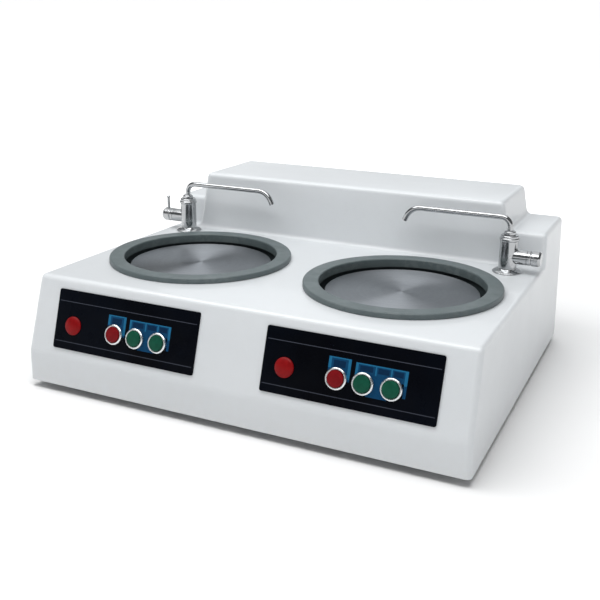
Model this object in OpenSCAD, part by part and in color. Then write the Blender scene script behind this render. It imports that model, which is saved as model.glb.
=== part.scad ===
// Twin-disc metallographic polishing machine.
// Moulded body, two wet discs on belt-driven spindles, two control panels and two swivel taps.
// Origin at the middle of the footprint, on the surface that the feet stand on. X is to the right, Y to the
// rear.

/* [Wells and discs] */
// Radius of the grinding discs
disc_r = 115; // [100:1:118]
// Thickness of the grinding discs
disc_t = 8; // [5:0.5:10]
// How far the disc's face lies below the deck
disc_sink = 6.5; // [3:0.5:10]
// Gap between a disc and its splash ring
disc_gap = 9; // [7:0.5:12]
// Height of the splash ring above the deck
ring_rise = 8.5; // [6:0.5:14]
// How far the splash ring reaches past the basin's rim
ring_overhang = 5; // [4.5:0.5:8]
// Depth of the basin's floor below the deck
basin_depth = 46; // [42:1:48]
// Wall of the basin and the ring
basin_t = 3; // [2:0.5:3.5]
// Width of the basin's rim on the deck
basin_rim_w = 14; // [10:0.5:15]
// Deck left between the two splash rings
ring_spacing = 52; // [40:2:70]
// Deck left between a splash ring and the body's side
side_margin = 28; // [26:1:45]
// Deck left in front of the splash rings
front_margin = 43; // [36:1:60]
// Deck left behind the splash rings
rear_margin = 39; // [38:1:50]

/* [Body] */
// Height of the rear housing above the lower edge
body_h = 266; // [262:1:320]
// Height of the deck above the lower edge
deck_h = 162; // [150:1:180]
// Height of the two end shoulders above the lower edge
shoulder_h = 217; // [200:1:240]
// Height of the upright band under the sloping front
knee_h = 48; // [30:1:55]
// How far the sloping front runs back
slope_back = 37; // [20:1:50]
// Depth of the rear housing
housing_d = 175; // [160:5:240]
// How far the end shoulders stand back from the housing's face
shoulder_back = 16; // [13:1:24]
// Distance from the body's side to the housing's upper edge
housing_inset = 76; // [70:1:100]
// Lean of the body's sides, in degrees
side_lean = 1.75; // [1:0.25:3]
// Lean of the rear face, in degrees
rear_lean = 2.6; // [1:0.1:4]
// Lean of the housing's ends, in degrees
housing_lean = 10.9; // [5:0.1:14]
// Wall of the moulding
wall = 5; // [3:0.5:7]
// Rounding of the outer edges
edge_r = 12; // [9:0.5:16]
// Hollow rounding where the housing meets the deck
cove_r = 10; // [5:0.5:14]

/* [Base] */
// Height of the rubber feet
foot_h = 12; // [8:1:20]
// Radius of the rubber feet
foot_r = 20; // [12:1:28]
// Distance from the body's edges to the middle of a foot
foot_inset = 60; // [45:1:90]
// Thickness of the steel base plate
base_t = 3; // [2:0.5:5]
// Width of the turned-in lip that the base plate is screwed to
lip_w = 22; // [16:1:30]
// Thickness of that lip
lip_t = 5; // [3:0.5:8]

/* [Control panels] */
// Distance of each panel's middle outwards from its disc's axis
panel_shift = 3; // [0:1:10]
// Length of a panel
panel_w = 248; // [220:1:270]
// Height of a panel along the slope
panel_h = 90; // [80:1:100]
// Thickness of a panel
panel_t = 2; // [1:0.5:3]
// Distance from the knee to the panel's lower edge
panel_up = 13; // [8:1:16]
// Distance from the knee to the row of buttons, along the slope
button_up = 49; // [45:1:60]
// Radius of a button's bezel
bezel_r = 15; // [13:0.5:17]
// Radius of a button's cap
cap_r = 11.4; // [9.5:0.1:12]
// Travel of a button
button_travel = 3; // [2:0.5:3.5]
// Radius of the pilot lamp's lens
lens_r = 14; // [12:0.5:16]

/* [Taps] */
// Distance of each tap's axis from the body's side
tap_inset = 55; // [52:1:60]
// Distance of the tap axes from the shoulders' face
tap_from_shoulder = 50; // [47:1:56]
// Height of a tap's body above the deck
tap_h = 60; // [50:1:66]
// Radius of a tap's body
tap_r = 14; // [12:0.5:16]
// Radius of a tap's foot flange
tap_flange_r = 23; // [20:0.5:26]
// Height of the valve branch above the deck
valve_h = 26; // [24:1:34]
// Radius of the spout's tube
spout_r = 4.4; // [4:0.1:5.5]
// Wall of the spout's tube
spout_wall = 1; // [0.6:0.1:1.5]
// Height of the spout's level run above the deck
spout_h = 87; // [84:1:96]
// Length of the spout from the tap's axis to its bend
spout_run = 150; // [120:1:160]
// Length of the spout's straight tip
tip_len = 24; // [16:1:28]
// Length of a tap's lever from the valve's axis
lever_len = 35; // [25:1:36]

/* [Drive] */
// Radius of the large pulley on the spindle
big_pulley_r = 70; // [60:1:74]
// Radius of the small pulley on the motor
small_pulley_r = 30; // [26:1:36]
// Height of the folded bridge that carries the spindle and the motor
bridge_h = 62; // [58:1:62]
// Radius of the spindle in its bearings
spindle_r = 12.5; // [10:0.5:13]
// Height of the motor
motor_h = 150; // [130:1:155]

/* [Hidden] */

$fn = 64;
LEFT = -1;
RIGHT = 1;
sides = [LEFT, RIGHT];
// Facets of the body's rounded edges
round_fn = 24;
// Overrun of every cut
cut = 1;

// Radii of the wet parts, from the disc outwards, and the body that is laid out round them
skirt_gap = 2;
ring_in_r = disc_r + disc_gap;
basin_r = ring_in_r + basin_t + skirt_gap;
ring_out_r = basin_r + basin_rim_w + ring_overhang;
disc_x = ring_out_r + ring_spacing / 2;
body_w = 2 * (disc_x + ring_out_r + side_margin);
disc_from_front = slope_back + front_margin + ring_out_r;
housing_from_front = disc_from_front + ring_out_r + rear_margin;
shoulder_from_front = housing_from_front + shoulder_back;
body_d = housing_from_front + housing_d;
housing_w = body_w - 2 * housing_inset;

// Fittings on the rear stand out this far, so the footprint's middle lies behind the body's own middle
fitting_reach = 10;
front_y = -(body_d + fitting_reach) / 2;
back_y = front_y + body_d;
deck_z = foot_h + deck_h;
top_z = foot_h + body_h;
shoulder_z = foot_h + shoulder_h;
knee_z = foot_h + knee_h;
housing_y = front_y + housing_from_front;
shoulder_y = front_y + shoulder_from_front;
slope_lean = atan2(slope_back, deck_h - knee_h);
plate_top = foot_h + base_t;
plate_gap = 1;
// Thickness of the disc that starts a rounded corner post
post_t = 1;

// Half width of the body, half width of the housing and place of the rear face at a height
function half_body(z) = body_w / 2 - tan(side_lean) * (z - foot_h);
function half_housing(z) = housing_w / 2 + tan(housing_lean) * (top_z - z);
function rear_face(z) = back_y - tan(rear_lean) * (z - foot_h);

// Height above a ball's middle of the facet corner that a leaning face rests on
contact_rise = edge_r * tan(180 / round_fn);

// Services through the rear wall
pad_r = 19;
pad_t = wall + 3;
pad_face = back_y - pad_t;
drain_z = foot_h + 33;
inlet_x = 45;
gland_inset = 100;
inlet_z = foot_h + 48;
gland_x = gland_inset - body_w / 2;
gland_z = foot_h + 48;
outlet_r = 12;
pipe_r = 11.5;
pipe_wall = 2;
inlet_r = 10.4;
shank_thread_r = 10;
inlet_bore = 6;
gland_thread_r = 9.8;
gland_bore = 5;
service_gap = 0.3;

// Heights of the wet parts
disc_y = front_y + disc_from_front;
disc_top = deck_z - disc_sink;
disc_bottom = disc_top - disc_t;
floor_z = deck_z - basin_depth;
floor_rise = 3;
ring_top = deck_z + ring_rise;
skirt_clear = 1.5;
ring_low = disc_top + skirt_clear;
well_gap = 1.5;
well_r = basin_r + basin_t + well_gap;
tail_r = 13;
tail_edge = 4;
drain_from_axis = basin_r - tail_r - tail_edge;
drain_x = disc_x - drain_from_axis;
tail_len = 21;

// Spindle, its seat and its bearings
bridge_t = 4;
bridge_top = plate_top + bridge_h;
bearing_r = 26;
bearing_w = 15;
run_gap = 0.05;
housing_lip = 3;
housing_len = 48;
housing_barrel_r = 36;
housing_flange_r = 52;
housing_flange_t = 8;
housing_top = bridge_top + housing_len;
shaft_collar_r = 15;
shaft_hole_r = 16;
collar_clear = 0.3;
seat_low_z = disc_bottom - 21.5;
seat_top_z = disc_bottom - 2.5;
seat_low_r = 14;
seat_top_r = 12;
disc_overhang = 30;
carrier_r = disc_r - disc_overhang;
carrier_t = 7;
carrier_hub_r = 18.5;
skirt_r = 33;
skirt_t = 3;
skirt_len = 15;
drip_collar_r = 24.5;
drip_collar_h = 20;
drive_pin_r = 4;
drive_pin_h = 4;
drive_pin_at = 60;
drive_pin_gap = 0.15;
disc_chamfer = 1;

// Belt drive
web_holes = 6;
rim_t = 5;
motor_share = 0.32;
motor_clear = 26;
motor_r = motor_share * housing_d;
motor_y = housing_y + motor_r + motor_clear;
pulley_w = 20;
pulley_z = plate_top + 17;
pulley_seat_r = 10;
pulley_hub_r = 18;
pulley_hub_len = 28;
pulley_web_t = 7;
groove_depth = 11;
groove_top = 6;
groove_bottom = 3.2;
belt_sink = 1;
belt_t = 7;
belt_gap = 0.4;
motor_shaft_r = 9.5;
shaft_end_z = pulley_z - 5;

belt_reach = motor_y - disc_y;
belt_turn = acos((big_pulley_r - small_pulley_r) / belt_reach);
big_steps = 36;
small_steps = 18;

// Bridge
quarters = [45, 135, 225, 315];
bridge_half_w = 90;
bridge_foot_w = 14;
bridge_nose = 80;
bridge_tail = 2;
bolt_r = 4;
bolt_head_r = 7.5;
bolt_head_h = 5;
bolt_gap = 0.2;
housing_bolts_at = 44;
motor_flange_t = 8;
flange_rim = 7;
motor_flange_r = motor_r + 2 * flange_rim;
motor_bolts_at = motor_r + flange_rim;
bridge_front = disc_y - bridge_nose;
bridge_back = motor_y + motor_flange_r + bridge_tail;

// Motor
air_gap = 1;
stator_t = 15;
rotor_r = motor_r - stator_t - air_gap;
shield_t = 14;
fin_count = 24;
fin_t = 3;
fin_out = 6;
fin_margin = 20;

// Contactors on their sheet-metal angle
gear_half_w = 80;
gear_h = 112;
gear_t = 2.5;
gear_back = 7;
gear_y = motor_y - gear_back;
gear_depth_share = 0.71;
gear_depth = gear_depth_share * motor_r;
gear_corner = 6;
contactor_w = 45;
contactor_gap = 5;
contactor_h = 74;
contactor_share = 0.6;
contactor_d = contactor_share * motor_r;

// Panel, buttons and lamp, in the plane of the sloping front
glue_t = 0.15;
panel_corner = 3;
lamp_at = -91;
lamp_up = 50;
stop_at = -15;
low_at = 22;
high_at = 61;
button_places = [stop_at, low_at, high_at];
panel_hole_r = 11.2;
bezel_h = 5;
bezel_edge = 1;
barrel_r = 11;
barrel_len = 25;
barrel_bore = 8.5;
cap_rest = 0.5;
cap_proud = 2;
cap_gap = 0.4;
cap_low = cap_rest + button_travel;
cap_top = bezel_h + cap_proud;
stem_r = 8.1;
stem_len = 17;
nut_r = 15;
nut_t = 4;
block_w = 28;
block_h = 40;
block_len = 34;
block_step = 4;
dome_steps = 8;
lens_h = 5;
lens_edge = 1;
// Front of a panel above the sloping face
panel_face = glue_t + panel_t;
// Inner face of the moulding below the panel's front
behind = panel_face + wall + glue_t;

// Taps
tap_x = body_w / 2 - tap_inset;
tap_y = shoulder_y - tap_from_shoulder;
tap_top = deck_z + tap_h;
tap_flange_t = 5;
tap_lip_r = 15.5;
tap_lip_t = 5;
tap_lip_down = 4;
shank_r = 10;
shank_len = 45;
shank_hole_r = 10.5;
tap_bore_r = 4;
spigot_r = 6;
spigot_len = 18;
locknut_r = 17;
locknut_t = 8;
branch_r = 11.5;
branch_len = 30;
stem_bore_r = 5;
stem_bore_len = 14;
hub_gap = 0.3;
hub_len = 21;
hub_tip_r = 8.5;
hub_tip_len = 6;
lever_at = 43;
lever_r = 2.3;
lever_knob_r = 3.3;
spout_nut_r = 9;
spout_nut_h = 6;
spout_bend = 16;
tip_bend = 14;
tip_turn = 45;
spout_steps = 8;
tip_steps = 4;
tube_sides = 20;
spout_level = spout_h - tap_h;

// Hoses
hose_r = 6;
hose_forward = 15;
hose_over_bridge = 23;
hose_y = housing_y - hose_forward;
hose_z = bridge_top + hose_over_bridge;
hose_split = 10;
hose_bend = 18;
hose_sides = 10;
manifold_reach = 30;
manifold_y = pad_face - manifold_reach;

// Screws of the base plate
screw_r = 2.5;
screw_head_r = 4.8;
screw_head_h = 3;
screw_line = wall + lip_w / 2;

// Base plate
arc_steps = 6;
vent_count = 9;
vent_len = 70;
vent_w = 5;

// Corner ball and corner post of the rounded body, with the wall's inset taken off the radius
module corner_ball(x, y, z, inset)
    translate([x, y, z]) sphere(r = (edge_r - inset) / cos(180 / round_fn), $fn = round_fn);

module corner_post(x, y, z, inset)
    translate([x, y, z]) cylinder(r = edge_r - inset, h = post_t, $fn = round_fn);

// Middles of the edge roundings on the sides and on the rear
function body_ball_x(z) = half_body(z + contact_rise) - edge_r;
function body_post_x(z) = half_body(z + post_t) - edge_r;
function housing_ball_x(z) = half_housing(z + contact_rise) - edge_r;
function housing_post_x(z) = half_housing(z + post_t) - edge_r;
function rear_ball_y(z) = rear_face(z + contact_rise) - edge_r;
function rear_post_y(z) = rear_face(z + post_t) - edge_r;

// Front of the body: upright band, sloping face and deck
module front_mass(inset) {
    knee_ball_z = knee_z - edge_r * tan(slope_lean / 2);
    deck_ball_z = deck_z - edge_r;
    deck_ball_y = front_y + slope_back + edge_r * (1 - sin(slope_lean)) / cos(slope_lean);
    end_y = shoulder_y + 3 * edge_r;
    hull() for (s = sides) {
        for (y = [front_y + edge_r, end_y])
            corner_post(s * body_post_x(foot_h), y, foot_h, inset);
        corner_ball(s * body_ball_x(knee_ball_z), front_y + edge_r, knee_ball_z, inset);
        for (y = [deck_ball_y, end_y])
            corner_ball(s * body_ball_x(deck_ball_z), y, deck_ball_z, inset);
    }
}

// Rear of the body up to the shoulders
module shoulder_mass(inset) {
    ball_z = shoulder_z - edge_r;
    hull() for (s = sides) {
        for (y = [shoulder_y + edge_r, rear_post_y(foot_h)])
            corner_post(s * body_post_x(foot_h), y, foot_h, inset);
        for (y = [shoulder_y + edge_r, rear_ball_y(ball_z)])
            corner_ball(s * body_ball_x(ball_z), y, ball_z, inset);
    }
}

// Rear housing above the shoulders
module housing_mass(inset) {
    ball_z = top_z - edge_r;
    low_z = deck_z - 2 * edge_r;
    hull() for (s = sides) {
        for (y = [housing_y + edge_r, rear_post_y(low_z)])
            corner_post(s * housing_post_x(low_z), y, low_z, inset);
        for (y = [housing_y + edge_r, rear_ball_y(ball_z)])
            corner_ball(s * housing_ball_x(ball_z), y, ball_z, inset);
    }
}

module body_masses(inset) {
    front_mass(inset);
    shoulder_mass(inset);
    housing_mass(inset);
}

// Hollow rounding along the foot of an upright face
module cove(half_len, face_y)
    translate([-half_len, face_y, deck_z]) rotate([90, 0, 90]) linear_extrude(2 * half_len)
        difference() {
            translate([-cove_r, -wall / 2]) square([cove_r + wall / 2, cove_r + wall / 2]);
            translate([-cove_r, cove_r]) circle(cove_r, $fn = 2 * round_fn);
        }

// Opening in the underside, with the corners of the body inset by a distance
module underside(inset, low_z, high_z)
    hull() for (s = sides, y = [front_y + edge_r, back_y - edge_r])
        translate([s * (body_w / 2 - edge_r), y, low_z])
            cylinder(r = max(edge_r - inset, cut), h = high_z - low_z, $fn = round_fn);

// Places the children in the plane of the sloping front: X along it, Y up it, Z outwards
module on_slope(side, x, up)
    translate([side * (disc_x + panel_shift), front_y, knee_z]) rotate([90 - slope_lean, 0, 0])
        translate([x, up, 0]) children();

// Places the children on a service's axis, with Z pointing out of the rear
module on_rear(x, z)
    translate([x, back_y, z]) rotate([-90, 0, 0]) children();

module on_spindle(side)
    translate([side * disc_x, disc_y, 0]) children();

module on_motor(side)
    translate([side * disc_x, motor_y, 0]) children();

module on_tap(side)
    translate([side * tap_x, tap_y, 0]) children();

// Cylinder between two heights
module rod(r, low, high)
    translate([0, 0, low]) cylinder(r = r, h = high - low);

services = [[0, drain_z, outlet_r], [inlet_x, inlet_z, inlet_r], [gland_x, gland_z, gland_thread_r]];

// Thicker round places of the rear wall, where the services pass
module service_pads() for (s = services) on_rear(s[0], s[1])
    translate([0, 0, -pad_t]) cylinder(r = pad_r, h = pad_t, $fn = 48);

module body_shell() color("white") difference() {
    union() {
        body_masses(0);
        cove(half_housing(deck_z) - edge_r, housing_y);
        cove(half_body(deck_z) - edge_r, shoulder_y);
        service_pads();
    }
    difference() {
        body_masses(wall);
        translate([-body_w, front_y - body_d, -foot_h])
            cube([2 * body_w, 3 * body_d, plate_top + lip_t + foot_h]);
        service_pads();
    }
    underside(wall, foot_h - cut, plate_top);
    underside(wall + lip_w, foot_h - cut, plate_top + lip_t + cut);
    for (s = sides) {
        on_spindle(s) translate([0, 0, deck_z - wall - cut])
            cylinder(r = well_r, h = wall + 2 * cut, $fn = 120);
        on_tap(s) translate([0, 0, deck_z - wall - cut])
            cylinder(r = shank_hole_r, h = wall + 2 * cut, $fn = 40);
        for (x = button_places) on_slope(s, x, button_up) translate([0, 0, -wall - cut])
            cylinder(r = panel_hole_r, h = wall + 2 * cut, $fn = 40);
        on_slope(s, lamp_at, lamp_up) translate([0, 0, -wall - cut])
            cylinder(r = panel_hole_r, h = wall + 2 * cut, $fn = 40);
    }
    for (s = services) on_rear(s[0], s[1]) translate([0, 0, -pad_t - cut])
        cylinder(r = s[2] + service_gap, h = pad_t + 2 * cut, $fn = 40);
    for (p = base_screw_places) translate([p[0], p[1], foot_h])
        cylinder(r = screw_r, h = base_t + lip_t + cut, $fn = 24);
}

// Corner of a rounded rectangle as points on an arc
function corner_arc(x, y, r, from) = [for (i = [0:arc_steps]) let (a = from + i * 90 / arc_steps)
    [x + r * cos(a), y + r * sin(a)]];
function rounded_rectangle(x0, y0, x1, y1, r) = concat(
    corner_arc(x1 - r, y1 - r, r, 0), corner_arc(x0 + r, y1 - r, r, 90),
    corner_arc(x0 + r, y0 + r, r, 180), corner_arc(x1 - r, y0 + r, r, 270));

plate_half_w = body_w / 2 - wall - plate_gap;
plate_front = front_y + wall + plate_gap;
plate_back = back_y - wall - plate_gap;
plate_corner = edge_r - wall - plate_gap;
foot_places = [for (x = [-1, 1], y = [front_y + foot_inset, back_y - foot_inset])
    [x * (body_w / 2 - foot_inset), y]];
side_screw_shares = [0.04, 0.35, 0.65, 0.96];
end_screw_shares = [-0.5, 0, 0.5];
base_screw_places = concat(
    [for (s = sides, k = side_screw_shares) [s * (body_w / 2 - screw_line), front_y + k * body_d]],
    [for (y = [front_y + screw_line, back_y - screw_line], k = end_screw_shares) [k * body_w / 2, y]]);

module base_plate() color("lightgray") difference() {
    translate([0, 0, foot_h]) linear_extrude(base_t)
        polygon(rounded_rectangle(-plate_half_w, plate_front, plate_half_w, plate_back, plate_corner));
    for (s = sides, i = [0:vent_count - 1])
        on_motor(s) translate([-vent_len / 2, (i - (vent_count - 1) / 2) * 2 * vent_w, foot_h - cut])
            cube([vent_len, vent_w, base_t + 2 * cut]);
    for (p = concat(foot_places, base_screw_places)) translate([p[0], p[1], 0])
        rod(screw_r, foot_h - cut, plate_top + cut);
}

module rubber_feet() color("#222222") for (p = foot_places) translate([p[0], p[1], 0])
    rotate_extrude() polygon([
        [screw_r, 2 * screw_head_h], [screw_head_r, 2 * screw_head_h], [screw_head_r, 0],
        [0.85 * foot_r, 0], [0.9 * foot_r, 0.1 * foot_h], [foot_r, foot_h], [screw_r, foot_h]]);

// Round-headed screw whose head points down, with its seat at the origin
module hanging_screw(len)
    rotate_extrude() polygon([[0, -screw_head_h], [0.7 * screw_head_r, -screw_head_h],
        [screw_head_r, -0.5 * screw_head_h], [screw_head_r, 0], [screw_r, 0], [screw_r, len], [0, len]]);

module base_screws() color("silver") {
    for (p = base_screw_places) translate([p[0], p[1], foot_h]) hanging_screw(base_t + lip_t);
    for (p = foot_places) translate([p[0], p[1], 2 * screw_head_h])
        hanging_screw(plate_top - 2 * screw_head_h);
}

// Drip basin: rim on the deck, sloping floor, collar round the spindle and drain tail
module basin(side) color("#39454a") on_spindle(side) {
    drain = -side * drain_from_axis;
    difference() {
        union() {
            rotate_extrude() polygon([
                [basin_r + basin_rim_w, deck_z + basin_t], [basin_r, deck_z + basin_t], [basin_r, floor_z],
                [drip_collar_r, floor_z + floor_rise], [drip_collar_r, floor_z + drip_collar_h],
                [drip_collar_r - basin_t, floor_z + drip_collar_h], [drip_collar_r - basin_t, floor_z],
                [basin_r + basin_t, floor_z - basin_t], [basin_r + basin_t, deck_z],
                [basin_r + basin_rim_w, deck_z]]);
            translate([drain, 0, 0]) rod(tail_r, floor_z - basin_t - tail_len, floor_z - basin_t / 2);
        }
        translate([drain, 0, 0])
            rod(tail_r - basin_t, floor_z - basin_t - tail_len - cut, floor_z + floor_rise + cut);
    }
}

// Splash ring: flat top, outer skirt down to the deck, inner skirt down into the basin above the disc's face
module splash_ring(side) color("#73807f") on_spindle(side) {
    seat = deck_z + basin_t;
    soft = 1.5;
    rotate_extrude() polygon([
        [ring_in_r, ring_low], [ring_in_r + basin_t, ring_low], [ring_in_r + basin_t, seat],
        [ring_out_r - basin_t, seat], [ring_out_r - basin_t, deck_z + basin_t / 5],
        [ring_out_r, deck_z + basin_t / 5],
        [ring_out_r, ring_top - soft], [ring_out_r - soft / 3, ring_top - soft / 3],
        [ring_out_r - soft, ring_top], [ring_in_r + soft, ring_top],
        [ring_in_r + soft / 3, ring_top - soft / 3], [ring_in_r, ring_top - soft]]);
}

module grinding_disc(side) color("#c8c8c8") on_spindle(side) difference() {
    rotate_extrude() polygon([[0, disc_bottom], [disc_r - disc_chamfer, disc_bottom],
        [disc_r, disc_bottom + disc_chamfer], [disc_r, disc_top - disc_chamfer],
        [disc_r - disc_chamfer, disc_top], [0, disc_top]]);
    for (s = sides) translate([s * drive_pin_at, 0, 0])
        rod(drive_pin_r + drive_pin_gap, disc_bottom - cut, disc_bottom + drive_pin_h + drive_pin_gap);
}

// Platen under the disc: cone seat for the spindle, skirt over the basin's collar and two drive pins
module disc_carrier(side) color("#9a9a98") on_spindle(side) {
    low = disc_bottom - carrier_t;
    rotate_extrude() polygon([
        [0, disc_bottom], [carrier_r, disc_bottom], [carrier_r, disc_bottom - carrier_t / 2], [skirt_r, low],
        [skirt_r, low - skirt_len], [skirt_r - skirt_t, low - skirt_len], [skirt_r - skirt_t, low],
        [carrier_hub_r, low], [carrier_hub_r, seat_low_z], [seat_low_r, seat_low_z], [seat_top_r, seat_top_z],
        [0, seat_top_z]]);
    for (s = sides) translate([s * drive_pin_at, 0, 0]) rod(drive_pin_r, low, disc_bottom + drive_pin_h);
}

module spindle(side) color("silver") on_spindle(side) rotate_extrude() polygon([
    [0, shaft_end_z], [pulley_seat_r, shaft_end_z], [pulley_seat_r, pulley_z + pulley_hub_len],
    [spindle_r, pulley_z + pulley_hub_len], [spindle_r, housing_top - housing_lip + collar_clear],
    [shaft_collar_r, housing_top - housing_lip + collar_clear], [shaft_collar_r, seat_low_z],
    [seat_low_r, seat_low_z], [seat_top_r, seat_top_z], [0, seat_top_z]]);

// Spindle pulley: hub, pierced web and grooved rim
module spindle_pulley(side) color("#8f9498") on_spindle(side) translate([0, 0, pulley_z]) {
    groove_r = big_pulley_r - groove_depth;
    rim_r = groove_r - rim_t;
    web_low = (pulley_w - pulley_web_t) / 2;
    web_high = (pulley_w + pulley_web_t) / 2;
    mid = pulley_w / 2;
    difference() {
        rotate_extrude() polygon([
            [pulley_seat_r, 0], [pulley_hub_r, 0], [pulley_hub_r, web_low], [rim_r, web_low], [rim_r, 0],
            [big_pulley_r, 0], [big_pulley_r, mid - groove_top], [groove_r, mid - groove_bottom],
            [groove_r, mid + groove_bottom], [big_pulley_r, mid + groove_top],
            [big_pulley_r, pulley_w], [rim_r, pulley_w], [rim_r, web_high], [pulley_hub_r, web_high],
            [pulley_hub_r, pulley_hub_len], [pulley_seat_r, pulley_hub_len]]);
        for (i = [0:web_holes - 1]) rotate([0, 0, i * 360 / web_holes])
            translate([(rim_r + pulley_hub_r) / 2, 0, 0])
                rod((rim_r - pulley_hub_r) / 3, -cut, pulley_w + cut);
    }
}

module motor_pulley(side) color("#8f9498") on_motor(side) translate([0, 0, pulley_z])
    rotate_extrude() polygon([
        [motor_shaft_r, 0], [small_pulley_r, 0], [small_pulley_r, pulley_w / 2 - groove_top],
        [small_pulley_r - groove_depth, pulley_w / 2 - groove_bottom],
        [small_pulley_r - groove_depth, pulley_w / 2 + groove_bottom],
        [small_pulley_r, pulley_w / 2 + groove_top], [small_pulley_r, pulley_w],
        [small_pulley_r - groove_depth, pulley_w], [small_pulley_r - groove_depth, pulley_hub_len],
        [motor_shaft_r, pulley_hub_len]]);

module bearing_housing(side) color("#5f666b") on_spindle(side) difference() {
    rotate_extrude() polygon([[shaft_hole_r, bridge_top], [housing_flange_r, bridge_top],
        [housing_flange_r, bridge_top + housing_flange_t], [housing_barrel_r, bridge_top + housing_flange_t],
        [housing_barrel_r, housing_top], [bearing_r, housing_top], [bearing_r, bridge_top + housing_lip],
        [shaft_hole_r, bridge_top + housing_lip]]);
    for (a = quarters) rotate([0, 0, a]) translate([housing_bolts_at, 0, 0])
        rod(bolt_r + bolt_gap, bridge_top - cut, bridge_top + housing_flange_t + cut);
}

// Two ball bearings a side, drawn as rings with a groove for their shields, and the sleeve between them
module bearing_ring(low) {
    groove = bearing_w / 10;
    mid = (bearing_r + spindle_r) / 2;
    race = (bearing_r - spindle_r) / 4;
    translate([0, 0, low]) rotate_extrude() polygon([
        [spindle_r + run_gap, 0], [mid - race, 0], [mid - race, groove], [mid + race, groove],
        [mid + race, 0], [bearing_r, 0], [bearing_r, bearing_w], [mid + race, bearing_w],
        [mid + race, bearing_w - groove], [mid - race, bearing_w - groove], [mid - race, bearing_w],
        [spindle_r + run_gap, bearing_w]]);
}

module spindle_bearings() color("silver") for (s = sides) on_spindle(s) {
    low = bridge_top + housing_lip;
    high = housing_top - housing_lip - bearing_w;
    bearing_ring(low);
    bearing_ring(high);
    difference() {
        rod(bearing_r, low + bearing_w, high);
        rod(bearing_r - basin_t, low + bearing_w - cut, high + cut);
    }
}

// Folded steel bridge on the base plate
module drive_bridge(side) color("#b9bdbf") difference() {
    on_spindle(side) translate([0, bridge_back - disc_y, plate_top]) rotate([90, 0, 0])
        linear_extrude(bridge_back - bridge_front) polygon([
            [-bridge_half_w - bridge_foot_w, 0], [-bridge_half_w + bridge_t, 0],
            [-bridge_half_w + bridge_t, bridge_h - bridge_t], [bridge_half_w - bridge_t, bridge_h - bridge_t],
            [bridge_half_w - bridge_t, 0], [bridge_half_w + bridge_foot_w, 0],
            [bridge_half_w + bridge_foot_w, bridge_t],
            [bridge_half_w, bridge_t], [bridge_half_w, bridge_h], [-bridge_half_w, bridge_h],
            [-bridge_half_w, bridge_t], [-bridge_half_w - bridge_foot_w, bridge_t]]);
    on_spindle(side) rod(shaft_hole_r, bridge_top - bridge_t - cut, bridge_top + cut);
    on_motor(side) rod(shaft_hole_r, bridge_top - bridge_t - cut, bridge_top + cut);
    for (p = bridge_bolt_places(side)) translate([p[0], p[1], 0])
        rod(bolt_r + bolt_gap, p[2] - bridge_t - cut, p[2] + cut);
}

// Places of a bridge's bolts: X, Y, top of the steel and what lies on it
function round_places(x, y, at, top, over) = [for (a = quarters)
    [x + at * cos(a), y + at * sin(a), top, over]];
function bridge_bolt_places(side) = concat(
    round_places(side * disc_x, disc_y, housing_bolts_at, bridge_top, housing_flange_t),
    round_places(side * disc_x, motor_y, motor_bolts_at, bridge_top, motor_flange_t),
    [for (s = sides, y = [bridge_front + bridge_foot_w, bridge_back - bridge_foot_w])
        [side * disc_x + s * (bridge_half_w + bridge_foot_w / 2), y, plate_top + bridge_t, 0]]);

module bridge_bolts() color("silver") for (s = sides, p = bridge_bolt_places(s)) translate([p[0], p[1], 0]) {
    rod(bolt_r, p[2] - bridge_t, p[2] + p[3]);
    translate([0, 0, p[2] + p[3]])
        cylinder(r = min(bolt_head_r, bridge_foot_w / 2), h = bolt_head_h, $fn = 6);
}

// V-belt: one trapezium carried round both pulleys, with its straight runs on their common tangents
function groove_half(depth) = groove_top - depth * (groove_top - groove_bottom) / groove_depth;
function belt_ring(x, y, r, a) = [for (p = [[0, 1], [0, -1], [1, -1], [1, 1]])
    let (depth = belt_sink + p[0] * belt_t, half = groove_half(depth) - belt_gap)
    [x + (r - depth) * cos(a), y + (r - depth) * sin(a), pulley_z + pulley_w / 2 + p[1] * half]];

module drive_belt(side) color("#1d1d1d") {
    x = side * disc_x;
    rings = concat(
        [for (i = [0:big_steps]) belt_ring(x, disc_y, big_pulley_r,
            90 + belt_turn + i * (360 - 2 * belt_turn) / big_steps)],
        [for (i = [0:small_steps]) belt_ring(x, motor_y, small_pulley_r,
            90 - belt_turn + i * 2 * belt_turn / small_steps)]);
    n = len(rings);
    polyhedron(points = [for (r = rings) each r],
        faces = [for (i = [0:n - 1], k = [0:3], t = [0, 1])
            let (j = (i + 1) % n, m = (k + 1) % 4)
            t == 0 ? [4 * i + k, 4 * j + k, 4 * j + m] : [4 * i + k, 4 * j + m, 4 * i + m]]);
}

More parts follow.
